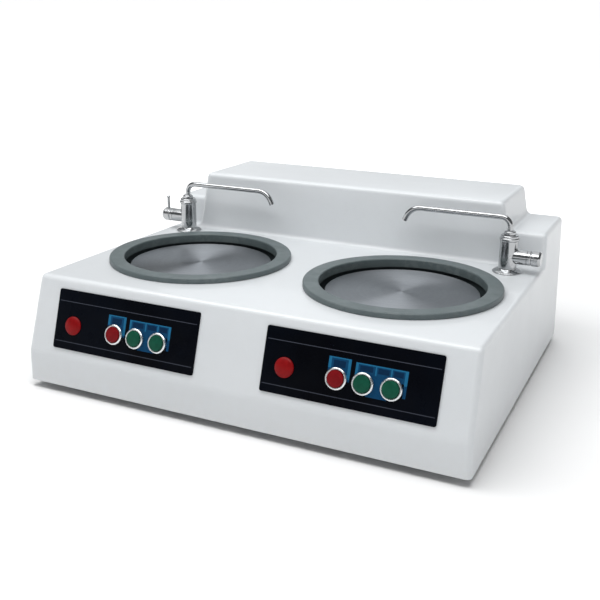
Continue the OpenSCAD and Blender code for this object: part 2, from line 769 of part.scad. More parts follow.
// Finned motor with a hollow for its rotor, a flange on the bridge and a terminal box on the inner side
module motor_case(side) color("#4d6a80") on_motor(side) {
    low = bridge_top;
    high = bridge_top + motor_h;
    hollow_r = rotor_r + air_gap;
    difference() {
        rotate_extrude() polygon([
            [motor_shaft_r + run_gap, low], [motor_flange_r, low], [motor_flange_r, low + motor_flange_t],
            [motor_r, low + motor_flange_t], [motor_r, high - shield_t], [0.8 * motor_r, high], [0, high],
            [0, high - shield_t / 2], [motor_shaft_r + run_gap, high - shield_t / 2],
            [motor_shaft_r + run_gap, high - shield_t], [hollow_r, high - shield_t],
            [hollow_r, low + shield_t], [motor_shaft_r + run_gap, low + shield_t]]);
        for (a = quarters) rotate([0, 0, a]) translate([motor_bolts_at, 0, 0])
            rod(bolt_r + bolt_gap, low - cut, low + motor_flange_t + cut);
    }
    for (i = [0:fin_count - 1]) rotate([0, 0, (i + 0.5) * 360 / fin_count])
        translate([motor_r - cut, -fin_t / 2, low + fin_margin])
            cube([fin_out + cut, fin_t, motor_h - 2 * fin_margin]);
    translate([-side * (motor_r + fin_out + block_w / 2) - block_w / 2, -block_h / 2, low + motor_h / 3])
        cube([block_w, block_h, motor_h / 3]);
}

module motor_rotor(side) color("#777777") on_motor(side) {
    low = bridge_top + shield_t + 2 * fin_t;
    high = bridge_top + motor_h - shield_t - 2 * fin_t;
    rotate_extrude() polygon([
        [0, shaft_end_z], [motor_shaft_r, shaft_end_z], [motor_shaft_r, low], [rotor_r, low],
        [rotor_r, high], [motor_shaft_r, high], [motor_shaft_r, bridge_top + motor_h - shield_t],
        [0, bridge_top + motor_h - shield_t]]);
}

module control_panel(side) color("#101318") on_slope(side, 0, 0) translate([0, 0, glue_t]) difference() {
    linear_extrude(panel_t)
        polygon(rounded_rectangle(-panel_w / 2, panel_up, panel_w / 2, panel_up + panel_h, panel_corner));
    for (x = button_places) translate([x, button_up, 0]) rod(panel_hole_r, -cut, panel_t + cut);
    translate([lamp_at, lamp_up, 0]) rod(panel_hole_r, -cut, panel_t + cut);
}

module bezel_ring()
    rotate_extrude() polygon([
        [cap_r + cap_gap, bezel_h - bezel_edge / 2], [cap_r + cap_gap + bezel_edge / 2, bezel_h],
        [bezel_r - bezel_edge, bezel_h], [bezel_r, bezel_h - bezel_edge], [bezel_r, 0], [barrel_r, 0],
        [barrel_r, -barrel_len], [barrel_bore, -barrel_len], [barrel_bore, 0], [cap_r + cap_gap, 0]]);

// Nut behind the wall, round a barrel
module panel_nut()
    translate([0, 0, -behind - nut_t]) difference() {
        cylinder(r = nut_r, h = nut_t, $fn = 6);
        rod(barrel_r, -cut, nut_t + cut);
    }

module button_bezels(side) color("#d5d8da") for (x = button_places) on_slope(side, x, button_up)
    translate([0, 0, panel_face]) {
        bezel_ring();
        panel_nut();
    }

// Contact block behind a barrel, with a step for its terminals
module contact_block()
    translate([0, 0, -barrel_len - block_len]) difference() {
        translate([-block_w / 2, -block_h / 2, 0]) cube([block_w, block_h, block_len]);
        for (s = sides) translate([-block_w / 2 - cut, s * block_h / 2 - block_step, -cut])
            cube([block_w + 2 * cut, 2 * block_step, block_len / 2 + cut]);
    }

module switch_blocks(side) color("#2e3135") {
    for (x = button_places) on_slope(side, x, button_up) translate([0, 0, panel_face]) contact_block();
    on_slope(side, lamp_at, lamp_up) translate([0, 0, panel_face]) {
        contact_block();
        panel_nut();
    }
}

// Domed lens on a barrel through the panel
module pilot_lamp(side) color("#c01818") on_slope(side, lamp_at, lamp_up) translate([0, 0, panel_face])
    rotate_extrude() polygon(concat(
        [[0, -barrel_len], [barrel_r, -barrel_len], [barrel_r, 0], [lens_r, 0]],
        [for (i = [0:dome_steps]) let (a = i * 90 / dome_steps)
            [lens_r * cos(a), lens_edge + (lens_h - lens_edge) * sin(a)]]));

// Push button: cap in its bezel and stem in the barrel
module push_button(side, x, tint) color(tint) on_slope(side, x, button_up) translate([0, 0, panel_face])
    rotate_extrude() polygon([
        [0, cap_low], [0, cap_low - stem_len], [stem_r, cap_low - stem_len], [stem_r, cap_low],
        [cap_r, cap_low], [cap_r, cap_top - bezel_edge], [cap_r - bezel_edge, cap_top], [0, cap_top]]);

// Tap body: foot flange, barrel with a lip, valve branch and shank through the deck
module tap_body(side) color("#d0d4d8") on_tap(side) difference() {
    union() {
        rotate_extrude() polygon([
            [0, deck_z - shank_len], [shank_r, deck_z - shank_len], [shank_r, deck_z], [tap_flange_r, deck_z],
            [tap_flange_r, deck_z + tap_flange_t / 3], [0.85 * tap_flange_r, deck_z + 0.8 * tap_flange_t],
            [tap_r + tap_flange_t / 4, deck_z + tap_flange_t], [tap_r, deck_z + 1.4 * tap_flange_t],
            [tap_r, tap_top - tap_lip_down - tap_lip_t],
            [tap_lip_r, tap_top - tap_lip_down - 0.8 * tap_lip_t],
            [tap_lip_r, tap_top - tap_lip_down - 0.2 * tap_lip_t], [tap_r, tap_top - tap_lip_down],
            [tap_r, tap_top - tap_lip_t / 4], [tap_r - tap_lip_t / 4, tap_top], [0, tap_top]]);
        translate([0, 0, deck_z + valve_h]) rotate([0, side * 90, 0]) rod(branch_r, 0, branch_len);
    }
    rod(tap_bore_r, deck_z - shank_len - cut, tap_top);
    rod(spigot_r + run_gap, tap_top - spigot_len - collar_clear, tap_top + cut);
    translate([0, 0, deck_z + valve_h]) rotate([0, side * 90, 0])
        rod(stem_bore_r + run_gap, branch_len - stem_bore_len - collar_clear, branch_len + cut);
}

module tap_locknuts() color("#c9a24a") for (s = sides) on_tap(s)
    translate([0, 0, deck_z - wall - locknut_t]) difference() {
        cylinder(r = locknut_r, h = locknut_t, $fn = 6);
        rod(shank_r, -cut, locknut_t + cut);
    }

// Middle line of the spout in its upright plane: X and height above the tap, with the lean of each ring
function spout_line() = let (rise = spout_level - spout_bend, tip_x = spout_run + tip_bend * sin(tip_turn),
    tip_z = spout_level - tip_bend * (1 - cos(tip_turn))) concat(
    [[0, -spigot_len, 0]],
    [for (i = [0:spout_steps]) let (a = i * 90 / spout_steps)
        [spout_bend * (1 - cos(a)), rise + spout_bend * sin(a), a]],
    [for (i = [0:tip_steps]) let (a = i * tip_turn / tip_steps)
        [spout_run + tip_bend * sin(a), spout_level - tip_bend * (1 - cos(a)), 90 + a]],
    [[tip_x + tip_len * cos(tip_turn), tip_z - tip_len * sin(tip_turn), 90 + tip_turn]]);
function tube_ring(p, r) = [for (k = [0:tube_sides - 1]) let (c = r * cos(k * 360 / tube_sides))
    [p[0] + c * cos(p[2]), r * sin(k * 360 / tube_sides), p[1] - c * sin(p[2])]];

// Bored tube of the spout: riser, bend, level run, shallow bend and straight tip
module spout_tube() {
    line = spout_line();
    n = len(line);
    inner = n * tube_sides;
    polyhedron(
        points = concat([for (p = line) each tube_ring(p, spout_r)],
            [for (p = line) each tube_ring(p, spout_r - spout_wall)]),
        faces = [for (k = [0:tube_sides - 1], t = [0, 1]) let (m = (k + 1) % tube_sides) each concat(
            [for (i = [0:n - 2]) let (a = i * tube_sides, b = a + tube_sides)
                t == 0 ? [a + k, b + k, b + m] : [a + k, b + m, a + m]],
            [for (i = [0:n - 2]) let (a = inner + i * tube_sides, b = a + tube_sides)
                t == 0 ? [a + k, b + m, b + k] : [a + k, a + m, b + m]],
            [t == 0 ? [k, m, inner + m] : [k, inner + m, inner + k]],
            [let (e = inner - tube_sides, f = 2 * inner - tube_sides)
                t == 0 ? [e + k, f + m, e + m] : [e + k, f + k, f + m]])]);
}

// Swivel spout: sleeve in the tap with the nut above it, and the bent tube through both
module spout(side) color("#d0d4d8")
    on_tap(side) translate([0, 0, tap_top]) rotate([0, 0, side == LEFT ? 0 : 180]) {
    bore = spout_r + run_gap;
    rotate_extrude() polygon([
        [bore, -spigot_len], [spigot_r, -spigot_len], [spigot_r, collar_clear], [spout_nut_r, collar_clear],
        [spout_nut_r, collar_clear + 0.75 * spout_nut_h], [0.8 * spout_nut_r, collar_clear + spout_nut_h],
        [bore, collar_clear + spout_nut_h]]);
    spout_tube();
}

// Valve hub on its stem, with the lever standing out of it
module tap_handle(side) color("#d0d4d8") on_tap(side) translate([0, 0, deck_z + valve_h]) {
    start = branch_len + hub_gap;
    rotate([0, side * 90, 0]) rotate_extrude() polygon([
        [0, branch_len - stem_bore_len], [stem_bore_r, branch_len - stem_bore_len], [stem_bore_r, start],
        [branch_r, start], [branch_r, start + hub_len - hub_tip_len],
        [hub_tip_r, start + hub_len - hub_tip_len / 3], [0.7 * hub_tip_r, start + hub_len],
        [0, start + hub_len]]);
    translate([side * lever_at, 0, 0]) rotate([side == LEFT ? 0 : -90, 0, 0]) {
        rod(lever_r, 0, lever_len - lever_knob_r);
        translate([0, 0, lever_len - lever_knob_r]) sphere(lever_knob_r);
    }
}

// Points along a corner of a route, as a curve that is tangent to both legs
function unit(v) = v / norm(v);
function bend_points(a, b, c) = let (p = b + hose_bend * unit(a - b), q = b + hose_bend * unit(c - b))
    [for (i = [0:6]) let (t = i / 6) (1 - t) * (1 - t) * p + 2 * t * (1 - t) * b + t * t * q];
function rounded_route(r) = concat([r[0]],
    [for (i = [1:len(r) - 2]) each bend_points(r[i - 1], r[i], r[i + 1])], [r[len(r) - 1]]);
function way(p, i) = unit(p[min(i + 1, len(p) - 1)] - p[max(i - 1, 0)]);
function square_to(v, w) = unit(v - (v * w) * w);
// Side direction of each ring, carried along the route without a twist
function carried(p, i, v) = i == len(p) ? [] :
    let (u = square_to(v, way(p, i))) concat([u], carried(p, i + 1, u));

// Tube along a rounded route
module tube(route, r, sides_n) {
    p = rounded_route(route);
    u = carried(p, 0, [1, 0.2, 0.3]);
    n = len(p);
    polyhedron(
        points = [for (i = [0:n - 1]) let (w = cross(way(p, i), u[i])) for (k = [0:sides_n - 1])
            p[i] + r * (cos(k * 360 / sides_n) * u[i] + sin(k * 360 / sides_n) * w)],
        faces = concat(
            [[for (k = [0:sides_n - 1]) k]],
            [for (i = [0:n - 2], k = [0:sides_n - 1], t = [0, 1])
                let (m = (k + 1) % sides_n, a = i * sides_n, b = (i + 1) * sides_n)
                t == 0 ? [a + k, b + k, b + m] : [a + k, b + m, a + m]],
            [[for (k = [sides_n - 1:-1:0]) (n - 1) * sides_n + k]]));
}

module water_hoses() color("#e8e8e0") for (s = sides) {
    x = inlet_x + s * hose_split;
    tube([[x, manifold_y, inlet_z], [x, hose_y + hose_bend, inlet_z], [x, hose_y, hose_z],
        [s * tap_x, hose_y, hose_z], [s * tap_x, tap_y, hose_z], [s * tap_x, tap_y, deck_z - shank_len]],
        hose_r, hose_sides);
}

// Threaded stub through the rear wall, with the block that feeds both hoses
module water_inlet() color("#c9a24a") difference() {
    union() {
        on_rear(inlet_x, inlet_z) rod(shank_thread_r, -pad_t - 2 * inlet_r, cut);
        on_rear(inlet_x, inlet_z) rod(inlet_r, 0, fitting_reach);
        on_rear(inlet_x, inlet_z) translate([0, 0, -pad_t - nut_t]) cylinder(r = nut_r, h = nut_t, $fn = 6);
        translate([inlet_x - hose_split - hose_r, manifold_y, inlet_z - hose_r])
            cube([2 * (hose_split + hose_r), pad_face - manifold_y - nut_t, 2 * hose_r]);
    }
    on_rear(inlet_x, inlet_z) rod(inlet_bore, -pad_t - inlet_r, fitting_reach + cut);
}

// Pipes from both drain tails to the rear, drawn once for the outside and once for the bore
module pipe_run(r, elbow, over) {
    top = floor_z - basin_t - tail_len;
    for (s = sides) translate([s * drain_x, disc_y, 0]) {
        rod(r, drain_z, top + over);
        translate([0, 0, drain_z]) sphere(elbow);
    }
    translate([-drain_x, disc_y, drain_z]) rotate([0, 90, 0]) rod(r, 0, 2 * drain_x);
    translate([0, disc_y, drain_z]) {
        sphere(elbow);
        rotate([-90, 0, 0]) rod(r, 0, back_y + fitting_reach + over - disc_y);
    }
}

module drain_pipes() color("#dcdcd6") difference() {
    union() {
        pipe_run(pipe_r, pipe_r + 1.5 * pipe_wall, 0);
        on_rear(0, drain_z) rod(outlet_r, 0, fitting_reach);
    }
    pipe_run(pipe_r - pipe_wall, pipe_r - pipe_wall / 2, cut);
}

// Sheet-metal angle that rests on both bridges, with the contactors on its front
module contactor_plate() color("#c8ccce") {
    reach = disc_x - bridge_half_w + 4 * bridge_t;
    translate([0, gear_y - gear_depth, bridge_top]) linear_extrude(gear_t)
        polygon(rounded_rectangle(-reach, 0, reach, gear_depth, gear_corner));
    translate([0, gear_y, bridge_top]) rotate([90, 0, 0]) linear_extrude(gear_t)
        polygon(rounded_rectangle(-gear_half_w, 0, gear_half_w, gear_h, gear_corner));
}

module contactors() color("#3c4247") for (i = [-1:1])
    translate([i * (contactor_w + contactor_gap), gear_y - gear_t, bridge_top + (gear_h - contactor_h) / 2])
        rotate([90, 0, 0]) difference() {
            translate([-contactor_w / 2, 0, 0]) cube([contactor_w, contactor_h, contactor_d]);
            for (y = [-contactor_h / 4, contactor_h * 3 / 4])
                translate([-contactor_w / 2 - cut, y, contactor_d / 2])
                    cube([contactor_w + 2 * cut, contactor_h / 2, contactor_d]);
        }

// Cable gland: hexagon and dome outside, thread and locknut inside
module cable_gland() color("#2a2a2a") {
    on_rear(gland_x, gland_z) difference() {
        union() {
            rod(gland_thread_r, -pad_t - 3 * nut_t, cut);
            cylinder(r = pad_r * 0.8, h = 0.4 * fitting_reach, $fn = 6);
            rotate_extrude() polygon([
                [0, 0], [1.2 * gland_thread_r, 0], [1.2 * gland_thread_r, 0.6 * fitting_reach],
                [gland_thread_r, 0.9 * fitting_reach], [0.8 * gland_thread_r, fitting_reach],
                [0, fitting_reach]]);
        }
        rod(gland_bore, -pad_t - 3 * nut_t - cut, fitting_reach + cut);
    }
    on_rear(gland_x, gland_z) translate([0, 0, -pad_t - nut_t]) difference() {
        cylinder(r = nut_r, h = nut_t, $fn = 6);
        rod(gland_thread_r, -cut, nut_t + cut);
    }
}

body_shell();
base_plate();
rubber_feet();
base_screws();
basin(LEFT);  // left_basin
basin(RIGHT);  // right_basin
splash_ring(LEFT);  // left_splash_ring
splash_ring(RIGHT);  // right_splash_ring
grinding_disc(LEFT);  // left_grinding_disc
grinding_disc(RIGHT);  // right_grinding_disc
disc_carrier(LEFT);  // left_disc_carrier
disc_carrier(RIGHT);  // right_disc_carrier
spindle(LEFT);  // left_spindle
spindle(RIGHT);  // right_spindle
spindle_pulley(LEFT);  // left_spindle_pulley
spindle_pulley(RIGHT);  // right_spindle_pulley
bearing_housing(LEFT);  // left_bearing_housing
bearing_housing(RIGHT);  // right_bearing_housing
spindle_bearings();
drive_bridge(LEFT);  // left_drive_bridge
drive_bridge(RIGHT);  // right_drive_bridge
bridge_bolts();
drive_belt(LEFT);  // left_drive_belt
drive_belt(RIGHT);  // right_drive_belt
motor_case(LEFT);  // left_motor_case
motor_case(RIGHT);  // right_motor_case
motor_rotor(LEFT);  // left_motor_rotor
motor_rotor(RIGHT);  // right_motor_rotor
motor_pulley(LEFT);  // left_motor_pulley
motor_pulley(RIGHT);  // right_motor_pulley
control_panel(LEFT);  // left_control_panel
control_panel(RIGHT);  // right_control_panel
pilot_lamp(LEFT);  // left_pilot_lamp
pilot_lamp(RIGHT);  // right_pilot_lamp
button_bezels(LEFT);  // left_button_bezels
button_bezels(RIGHT);  // right_button_bezels
switch_blocks(LEFT);  // left_switch_blocks
switch_blocks(RIGHT);  // right_switch_blocks
push_button(LEFT, stop_at, "#b00c12");  // left_stop_button
push_button(LEFT, low_at, "#0c6a45");  // left_low_speed_button
push_button(LEFT, high_at, "#0c6a45");  // left_high_speed_button
push_button(RIGHT, stop_at, "#b00c12");  // right_stop_button
push_button(RIGHT, low_at, "#0c6a45");  // right_low_speed_button
push_button(RIGHT, high_at, "#0c6a45");  // right_high_speed_button
tap_body(LEFT);  // left_tap_body
tap_body(RIGHT);  // right_tap_body
tap_locknuts();
spout(LEFT);  // left_spout
spout(RIGHT);  // right_spout
tap_handle(LEFT);  // left_tap_handle
tap_handle(RIGHT);  // right_tap_handle
water_hoses();
water_inlet();
drain_pipes();
contactor_plate();
contactors();
cable_gland();
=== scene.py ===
# %% [markdown]
# # A twin-disc metallographic polishing machine
# The machine stands on a bench in a laboratory. Its body is one white moulding: a low deck with two
# wet wells in front, and a tall housing with a shoulder at each end behind. Each well has a grey splash
# ring round a turned aluminium disc, a chrome tap with a swivel spout, and a black panel with a red
# lamp and three push buttons. The packed CAD model gives every size and place, so each new mesh here
# only has to be smoother and better finished than the solid that it stands for.

# %% Load the frame
import math

import bmesh
import bpy
from mathutils import Matrix, Vector


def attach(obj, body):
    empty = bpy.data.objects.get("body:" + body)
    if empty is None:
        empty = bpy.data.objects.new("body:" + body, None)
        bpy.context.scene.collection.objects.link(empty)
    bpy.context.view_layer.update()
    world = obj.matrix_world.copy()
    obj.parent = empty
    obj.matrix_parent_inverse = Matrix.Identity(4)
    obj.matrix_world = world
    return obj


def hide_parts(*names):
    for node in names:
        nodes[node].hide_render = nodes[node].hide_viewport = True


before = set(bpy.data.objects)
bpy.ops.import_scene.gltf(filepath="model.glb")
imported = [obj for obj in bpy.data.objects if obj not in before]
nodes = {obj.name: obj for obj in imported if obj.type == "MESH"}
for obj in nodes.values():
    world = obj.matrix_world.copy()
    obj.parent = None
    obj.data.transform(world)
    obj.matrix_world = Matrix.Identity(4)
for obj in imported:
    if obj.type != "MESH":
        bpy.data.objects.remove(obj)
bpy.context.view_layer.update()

# %% [markdown]
# ## Camera
# The machine is seen from the right, a little from above, with a lens of middling length. The camera's
# place was worked out from points of the body in the reference picture, so it is given as a point, a
# heading, a tilt and a small roll.

# %% The camera
heading, tilt, roll = 0.4414, -0.3203, 0.0113
camera_place = (0.55723, -1.23712, 0.5553)
forward = Vector((-math.sin(heading) * math.cos(tilt), math.cos(heading) * math.cos(tilt), math.sin(tilt)))
level = forward.cross(Vector((0, 0, 1))).normalized()
upward = level.cross(forward)
across = math.cos(roll) * level + math.sin(roll) * upward
upright = -math.sin(roll) * level + math.cos(roll) * upward

camera_data = bpy.data.cameras.new("camera")
camera_data.lens, camera_data.sensor_width = 51.557, 36
camera = bpy.data.objects.new("camera", camera_data)
turned = Matrix((across, upright, -forward)).transposed().to_4x4()
camera.matrix_world = Matrix.Translation(camera_place) @ turned
bpy.context.collection.objects.link(camera)
bpy.context.scene.camera = camera
print("camera at", [round(v, 3) for v in camera.location], "lens", round(camera_data.lens, 1))

# %% [markdown]
# ## Floor and lights
# A product picture of a white object needs white all round it and only gentle shading. The floor is a
# large pale sheet that lies flat under the machine and rises slowly far round it, so that no horizon
# shows. Most light falls evenly from above, because the deck is the brightest face and the front is in
# half shade. One broad lamp hangs before the housing and lights its face, and one behind makes the
# highlights on the deck, the discs and the chrome. Far from the machine the sheet glows a little.

# %% The floor
FLOOR_HALF, FLOOR_STEPS = 24, 48
FLAT_RADIUS, RISE = 3, 0.195


def as_object(name, bm):
    """Makes an object of a bmesh, which is used up."""
    mesh = bpy.data.meshes.new(name)
    bm.to_mesh(mesh)
    bm.free()
    made = bpy.data.objects.new(name, mesh)
    bpy.context.collection.objects.link(made)
    return made


sheet = bmesh.new()
bmesh.ops.create_grid(sheet, x_segments=FLOOR_STEPS, y_segments=FLOOR_STEPS, size=FLOOR_HALF)
for v in sheet.verts:
    v.co.z = RISE * max(0, v.co.xy.length - FLAT_RADIUS)
floor = as_object("floor", sheet)
print("floor", round(floor.dimensions.x, 1), "m wide")

# %% The lights
def lamp(name, kind, place, target, power, colour=(1, 1, 1), **settings):
    """A light at a place that shines at a target."""
    data = bpy.data.lights.new(name, kind)
    data.energy, data.color = power, colour
    for key, value in settings.items():
        setattr(data, key, value)
    made = bpy.data.objects.new(name, data)
    made.location = place
    made.rotation_euler = (Vector(target) - Vector(place)).to_track_quat("-Z", "Y").to_euler()
    bpy.context.collection.objects.link(made)


lamp("sky", "SUN", (-0.5, 0.1, 3), (0, 0, 0), 1.2, angle=math.radians(80))
lamp("behind", "AREA", (-0.4, 1.8, 1.2), (0, 0, 0.2), 7, (0.93, 0.97, 1),
     shape="RECTANGLE", size=2.2, size_y=1.2)
lamp("front", "AREA", (-0.1, -0.42, 1.3), (0, 0.12, 0.23), 13.5,
     shape="RECTANGLE", size=1.8, size_y=0.6)

world = bpy.data.worlds.new("studio")
world.use_nodes = True
background = world.node_tree.nodes["Background"].inputs
background["Color"].default_value = (0.95, 0.98, 1, 1)
background["Strength"].default_value = 0.15
bpy.context.scene.world = world
bpy.context.scene.view_settings.view_transform = "Standard"

# %% [markdown]
# ## Shader maths
# A finish is a small calculation that the renderer makes at every point of a surface. Wiring the nodes
# one by one is long to read, so one class wraps a socket: expressions such as `1 - mask * 0.2` then add
# their own Math nodes, and any other node is made by its method `node`.

# %% A socket that can be calculated with
class Field:
    def __init__(self, socket):
        self.socket = socket

    def node(self, kind, settings, inputs, out=0):
        """Adds a node: its settings first, then the values or links of its sockets."""
        made = self.socket.id_data.nodes.new(kind)
        for name, value in settings.items():
            setattr(made, name, value)
        for name, value in inputs.items():
            if isinstance(value, Field):
                self.socket.id_data.links.new(value.socket, made.inputs[name])
            else:
                made.inputs[name].default_value = value
        return Field(made.outputs[out])

    def maths(self, operation, *terms):
        """Adds a Math node over numbers and other fields."""
        return self.node("ShaderNodeMath", {"operation": operation}, dict(enumerate(terms)))

    def __add__(self, other):
        return self.maths("ADD", self, other)

    def __radd__(self, other):
        return self.maths("ADD", other, self)

    def __sub__(self, other):
        return self.maths("SUBTRACT", self, other)

    def __rsub__(self, other):
        return self.maths("SUBTRACT", other, self)

    def __mul__(self, other):
        return self.maths("MULTIPLY", self, other)

    def __truediv__(self, other):
        return self.maths("DIVIDE", self, other)

    def __pow__(self, other):
        return self.maths("POWER", self, other)

    def __lt__(self, other):
        return self.maths("LESS_THAN", self, other)

    def __abs__(self):
        return self.maths("ABSOLUTE", self)


print("Field has", sum(callable(value) for value in vars(Field).values()), "methods")

# %% [markdown]
# Most finishes need the same few building blocks: a new material with its fixed values, the place of a
# point on the object, a cloudy pattern between two values, a colour mixed from two, and a bump. What is
# the same all over goes straight on the shader's own sockets.

# %% Building blocks of every finish
def new_finish(name, **fixed):
    """A material with fixed values on its shader. Returns it with its Object coordinates."""
    material = bpy.data.materials.new(name)
    material.use_nodes = True
    shader = material.node_tree.nodes["Principled BSDF"]
    for key, value in fixed.items():
        shader.inputs[key.replace("_", " ")].default_value = value
    texture = material.node_tree.nodes.new("ShaderNodeTexCoord")
    return material, Field(texture.outputs["Object"])


def drive(material, **varying):
    """Links what changes over the surface to the shader."""
    shader = material.node_tree.nodes["Principled BSDF"]
    for key, value in varying.items():
        material.node_tree.links.new(value.socket, shader.inputs[key.replace("_", " ")])
    return material


def clouds(place, scale, low, high, detail=3.0, contrast=1.0):
    """Soft noise of a scale per metre, spread between two values."""
    noise = place.node("ShaderNodeTexNoise", {}, {"Vector": place, "Scale": scale, "Detail": detail})
    return noise.node("ShaderNodeMapRange", {"interpolation_type": "SMOOTHSTEP"}, {
        "Value": noise, "From Min": 0.5 - 0.25 / contrast, "From Max": 0.5 + 0.25 / contrast,
        "To Min": low, "To Max": high})


def blend(mask, first, second):
    """Mixes two colours, each one a tuple or a Field."""
    return mask.node("ShaderNodeMix", {"data_type": "RGBA"}, {0: mask, 6: first, 7: second}, out=2)


def tint(mask, colour, low, high):
    """One colour, darkened and lightened by a mask."""
    dark = tuple(c * low for c in colour) + (1,)
    light = tuple(min(1, c * high) for c in colour) + (1,)
    return blend(mask, dark, light)


def bump(height, distance, strength=1.0, normal=None):
    """A normal that follows a height, on top of another bump if there is one."""
    inputs = {"Height": height, "Distance": distance, "Strength": strength}
    if normal:
        inputs["Normal"] = normal
    return height.node("ShaderNodeBump", {}, inputs)


def axes(place):
    """X, Y and Z of a place, in millimetres."""
    scaled = place.node("ShaderNodeVectorMath", {"operation": "SCALE"}, {0: place, "Scale": 1000.0})
    return [scaled.node("ShaderNodeSeparateXYZ", {}, {0: scaled}, out=i) for i in range(3)]


def from_axis(place):
    """Distance from the Z axis, in millimetres."""
    x, y, _ = axes(place)
    return (x * x + y * y) ** 0.5


print("building blocks ready")

# %% [markdown]
# ## Mesh helpers
# Nearly every visible part of this machine was turned, moulded or bent, so three ways of making a mesh
# are enough: an outline spun round an axis, a flat outline extruded, and a ring of points swept along a
# tube. Sizes are in millimetres, as on a drawing, and are turned into metres when the mesh is finished.

# %% Outlines, bevels and spins
TO_METRES = Matrix.Scale(0.001, 4)


def outline(bm, points):
    """A closed loop of edges in the XZ plane through points of radius and height."""
    corners = [bm.verts.new((x, 0, z)) for x, z in points]
    return corners + [bm.edges.new(pair) for pair in zip(corners, corners[1:] + corners[:1])]


def sharp_edges(bm, least, test=lambda edge: True):
    """Edges whose two faces turn by more than an angle in degrees."""
    return [e for e in bm.edges if len(e.link_faces) == 2 and test(e)
            and e.calc_face_angle(0) > math.radians(least)]


def bevel(bm, edges, width, segments, **settings):
    """Rounds the edges given, each by a quarter of a circle."""
    bmesh.ops.bevel(bm, geom=edges, offset=width, segments=segments, profile=0.5, affect="EDGES",
                    material=-1, **settings)


def soften(bm, width, segments=2, test=lambda edge: True):
    """Rounds the sharp edges that pass a test."""
    bevel(bm, sharp_edges(bm, 30, test), width, segments, clamp_overlap=True)


def turn(bm, points, steps=96, soft=0.0, segments=2, place=Matrix()):
    """Spins an outline round Z, closes it, rounds its edges and sets it in place."""
    part = bmesh.new()
    bmesh.ops.spin(part, geom=outline(part, points), cent=(0, 0, 0), axis=(0, 0, 1), angle=math.tau,
                   steps=steps, use_merge=True)
    bmesh.ops.remove_doubles(part, verts=part.verts, dist=0.001)
    bmesh.ops.dissolve_degenerate(part, edges=part.edges, dist=0.0005)
    bmesh.ops.recalc_face_normals(part, faces=part.faces)
    if soft:
        soften(part, soft, segments)
    bmesh.ops.transform(part, matrix=place, verts=part.verts)
    add(bm, part)


def add(bm, part):
    """Moves the faces of one bmesh into another."""
    carrier = bpy.data.meshes.new("carrier")
    part.to_mesh(carrier)
    part.free()
    bm.from_mesh(carrier)
    bpy.data.meshes.remove(carrier)


SIDES = (("left", -1), ("right", 1))
print("outlines, bevels and spins ready for the sides", [name for name, _ in SIDES])

# %% [markdown]
# A union, a wall or a rounding is a modifier at first, and it is baked into the mesh at once. A finished
# piece is scaled to metres, smoothed and painted. Then it is hung on the body it rides on, and the solids
# it stands for are hidden.

# %% Baking and mounting
def bake_modifiers(piece):
    """Turns what the modifiers show into the mesh itself."""
    bpy.context.view_layer.update()
    seen = piece.evaluated_get(bpy.context.evaluated_depsgraph_get())
    mesh = bpy.data.meshes.new_from_object(seen)
    piece.modifiers.clear()
    old, piece.data = piece.data, mesh
    bpy.data.meshes.remove(old)


def combine(piece, operation, bm):
    """Unites a piece with the forms in a bmesh, or cuts them out of it."""
    tool = as_object("tool", bm)
    step = piece.modifiers.new("combine", "BOOLEAN")
    step.operation, step.solver, step.object = operation, "EXACT", tool
    bake_modifiers(piece)
    bpy.data.objects.remove(tool)


def give_wall(piece, thickness):
    """Thickens a skin inwards."""
    wall = piece.modifiers.new("wall", "SOLIDIFY")
    wall.thickness, wall.offset, wall.use_even_offset = thickness, -1, True
    bake_modifiers(piece)


def finish_piece(name, form, body, replaced, material, angle=32):
    """Smooths, scales, paints and mounts a piece on its body. The form is a bmesh or an object, in
    millimetres."""
    piece = form if isinstance(form, bpy.types.Object) else as_object(name, form)
    piece.data.transform(TO_METRES)
    piece.data.shade_smooth()
    piece.data.set_sharp_from_angle(angle=math.radians(angle))
    weighted = piece.modifiers.new("weighted", "WEIGHTED_NORMAL")
    weighted.keep_sharp, weighted.weight = True, 80
    bake_modifiers(piece)
    piece.name = piece.data.name = name
    piece.data.materials.clear()
    piece.data.materials.append(material)
    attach(piece, body)
    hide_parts(*replaced)
    print(name, "-", len(piece.data.polygons), "faces")


print("baking and mounting ready")

# %% [markdown]
# ## The body
# The body is a glass-fibre or vacuum-formed moulding in glossy white. It has a short upright band below,
# a front that slopes back to the deck, and a housing across the rear with a lower shoulder at each end.
# Every outer edge is rounded by about 12 mm, and the housing meets the deck in a hollow of the same
# size. It could be built from overlapping rounded boxes, but then the hollows would be missing. Here
# two plain forms are united first, and one bevel then rounds every edge, inner ones too. The step
# between housing and shoulder is only 16 mm wide, so its upright hollow gets a smaller share of the width.

# %% Sizes of the body
FRONT, BACK, FOOT, KNEE, DECK, SHOULDER, TOP = -300, 290, 12, 60, 174, 229, 278
HOUSING_Y, SHOULDER_Y, SLOPE = 115, 131, 37
HALF_WIDTH, HALF_HOUSING = 350, 274
SIDE_LEAN, HOUSING_LEAN, REAR_LEAN = 1.75, 10.9, 2.6
ROUNDING, ROUNDING_STEPS, KNEE_ROUNDING, WALL = 12, 6, 5, 5
HOLLOW_SHARE, SINK = 0.29, 20
LEAN = math.degrees(math.atan2(SLOPE, DECK - KNEE))


def half_body(z):
    """Half the width of the body at a height."""
    return HALF_WIDTH - math.tan(math.radians(SIDE_LEAN)) * (z - FOOT)


def half_housing(z):
    """Half the width of the housing at a height."""
    return HALF_HOUSING + math.tan(math.radians(HOUSING_LEAN)) * (TOP - z)


def rear_face(z):
    """Where the rear is at a height."""
    return BACK - math.tan(math.radians(REAR_LEAN)) * (z - FOOT)


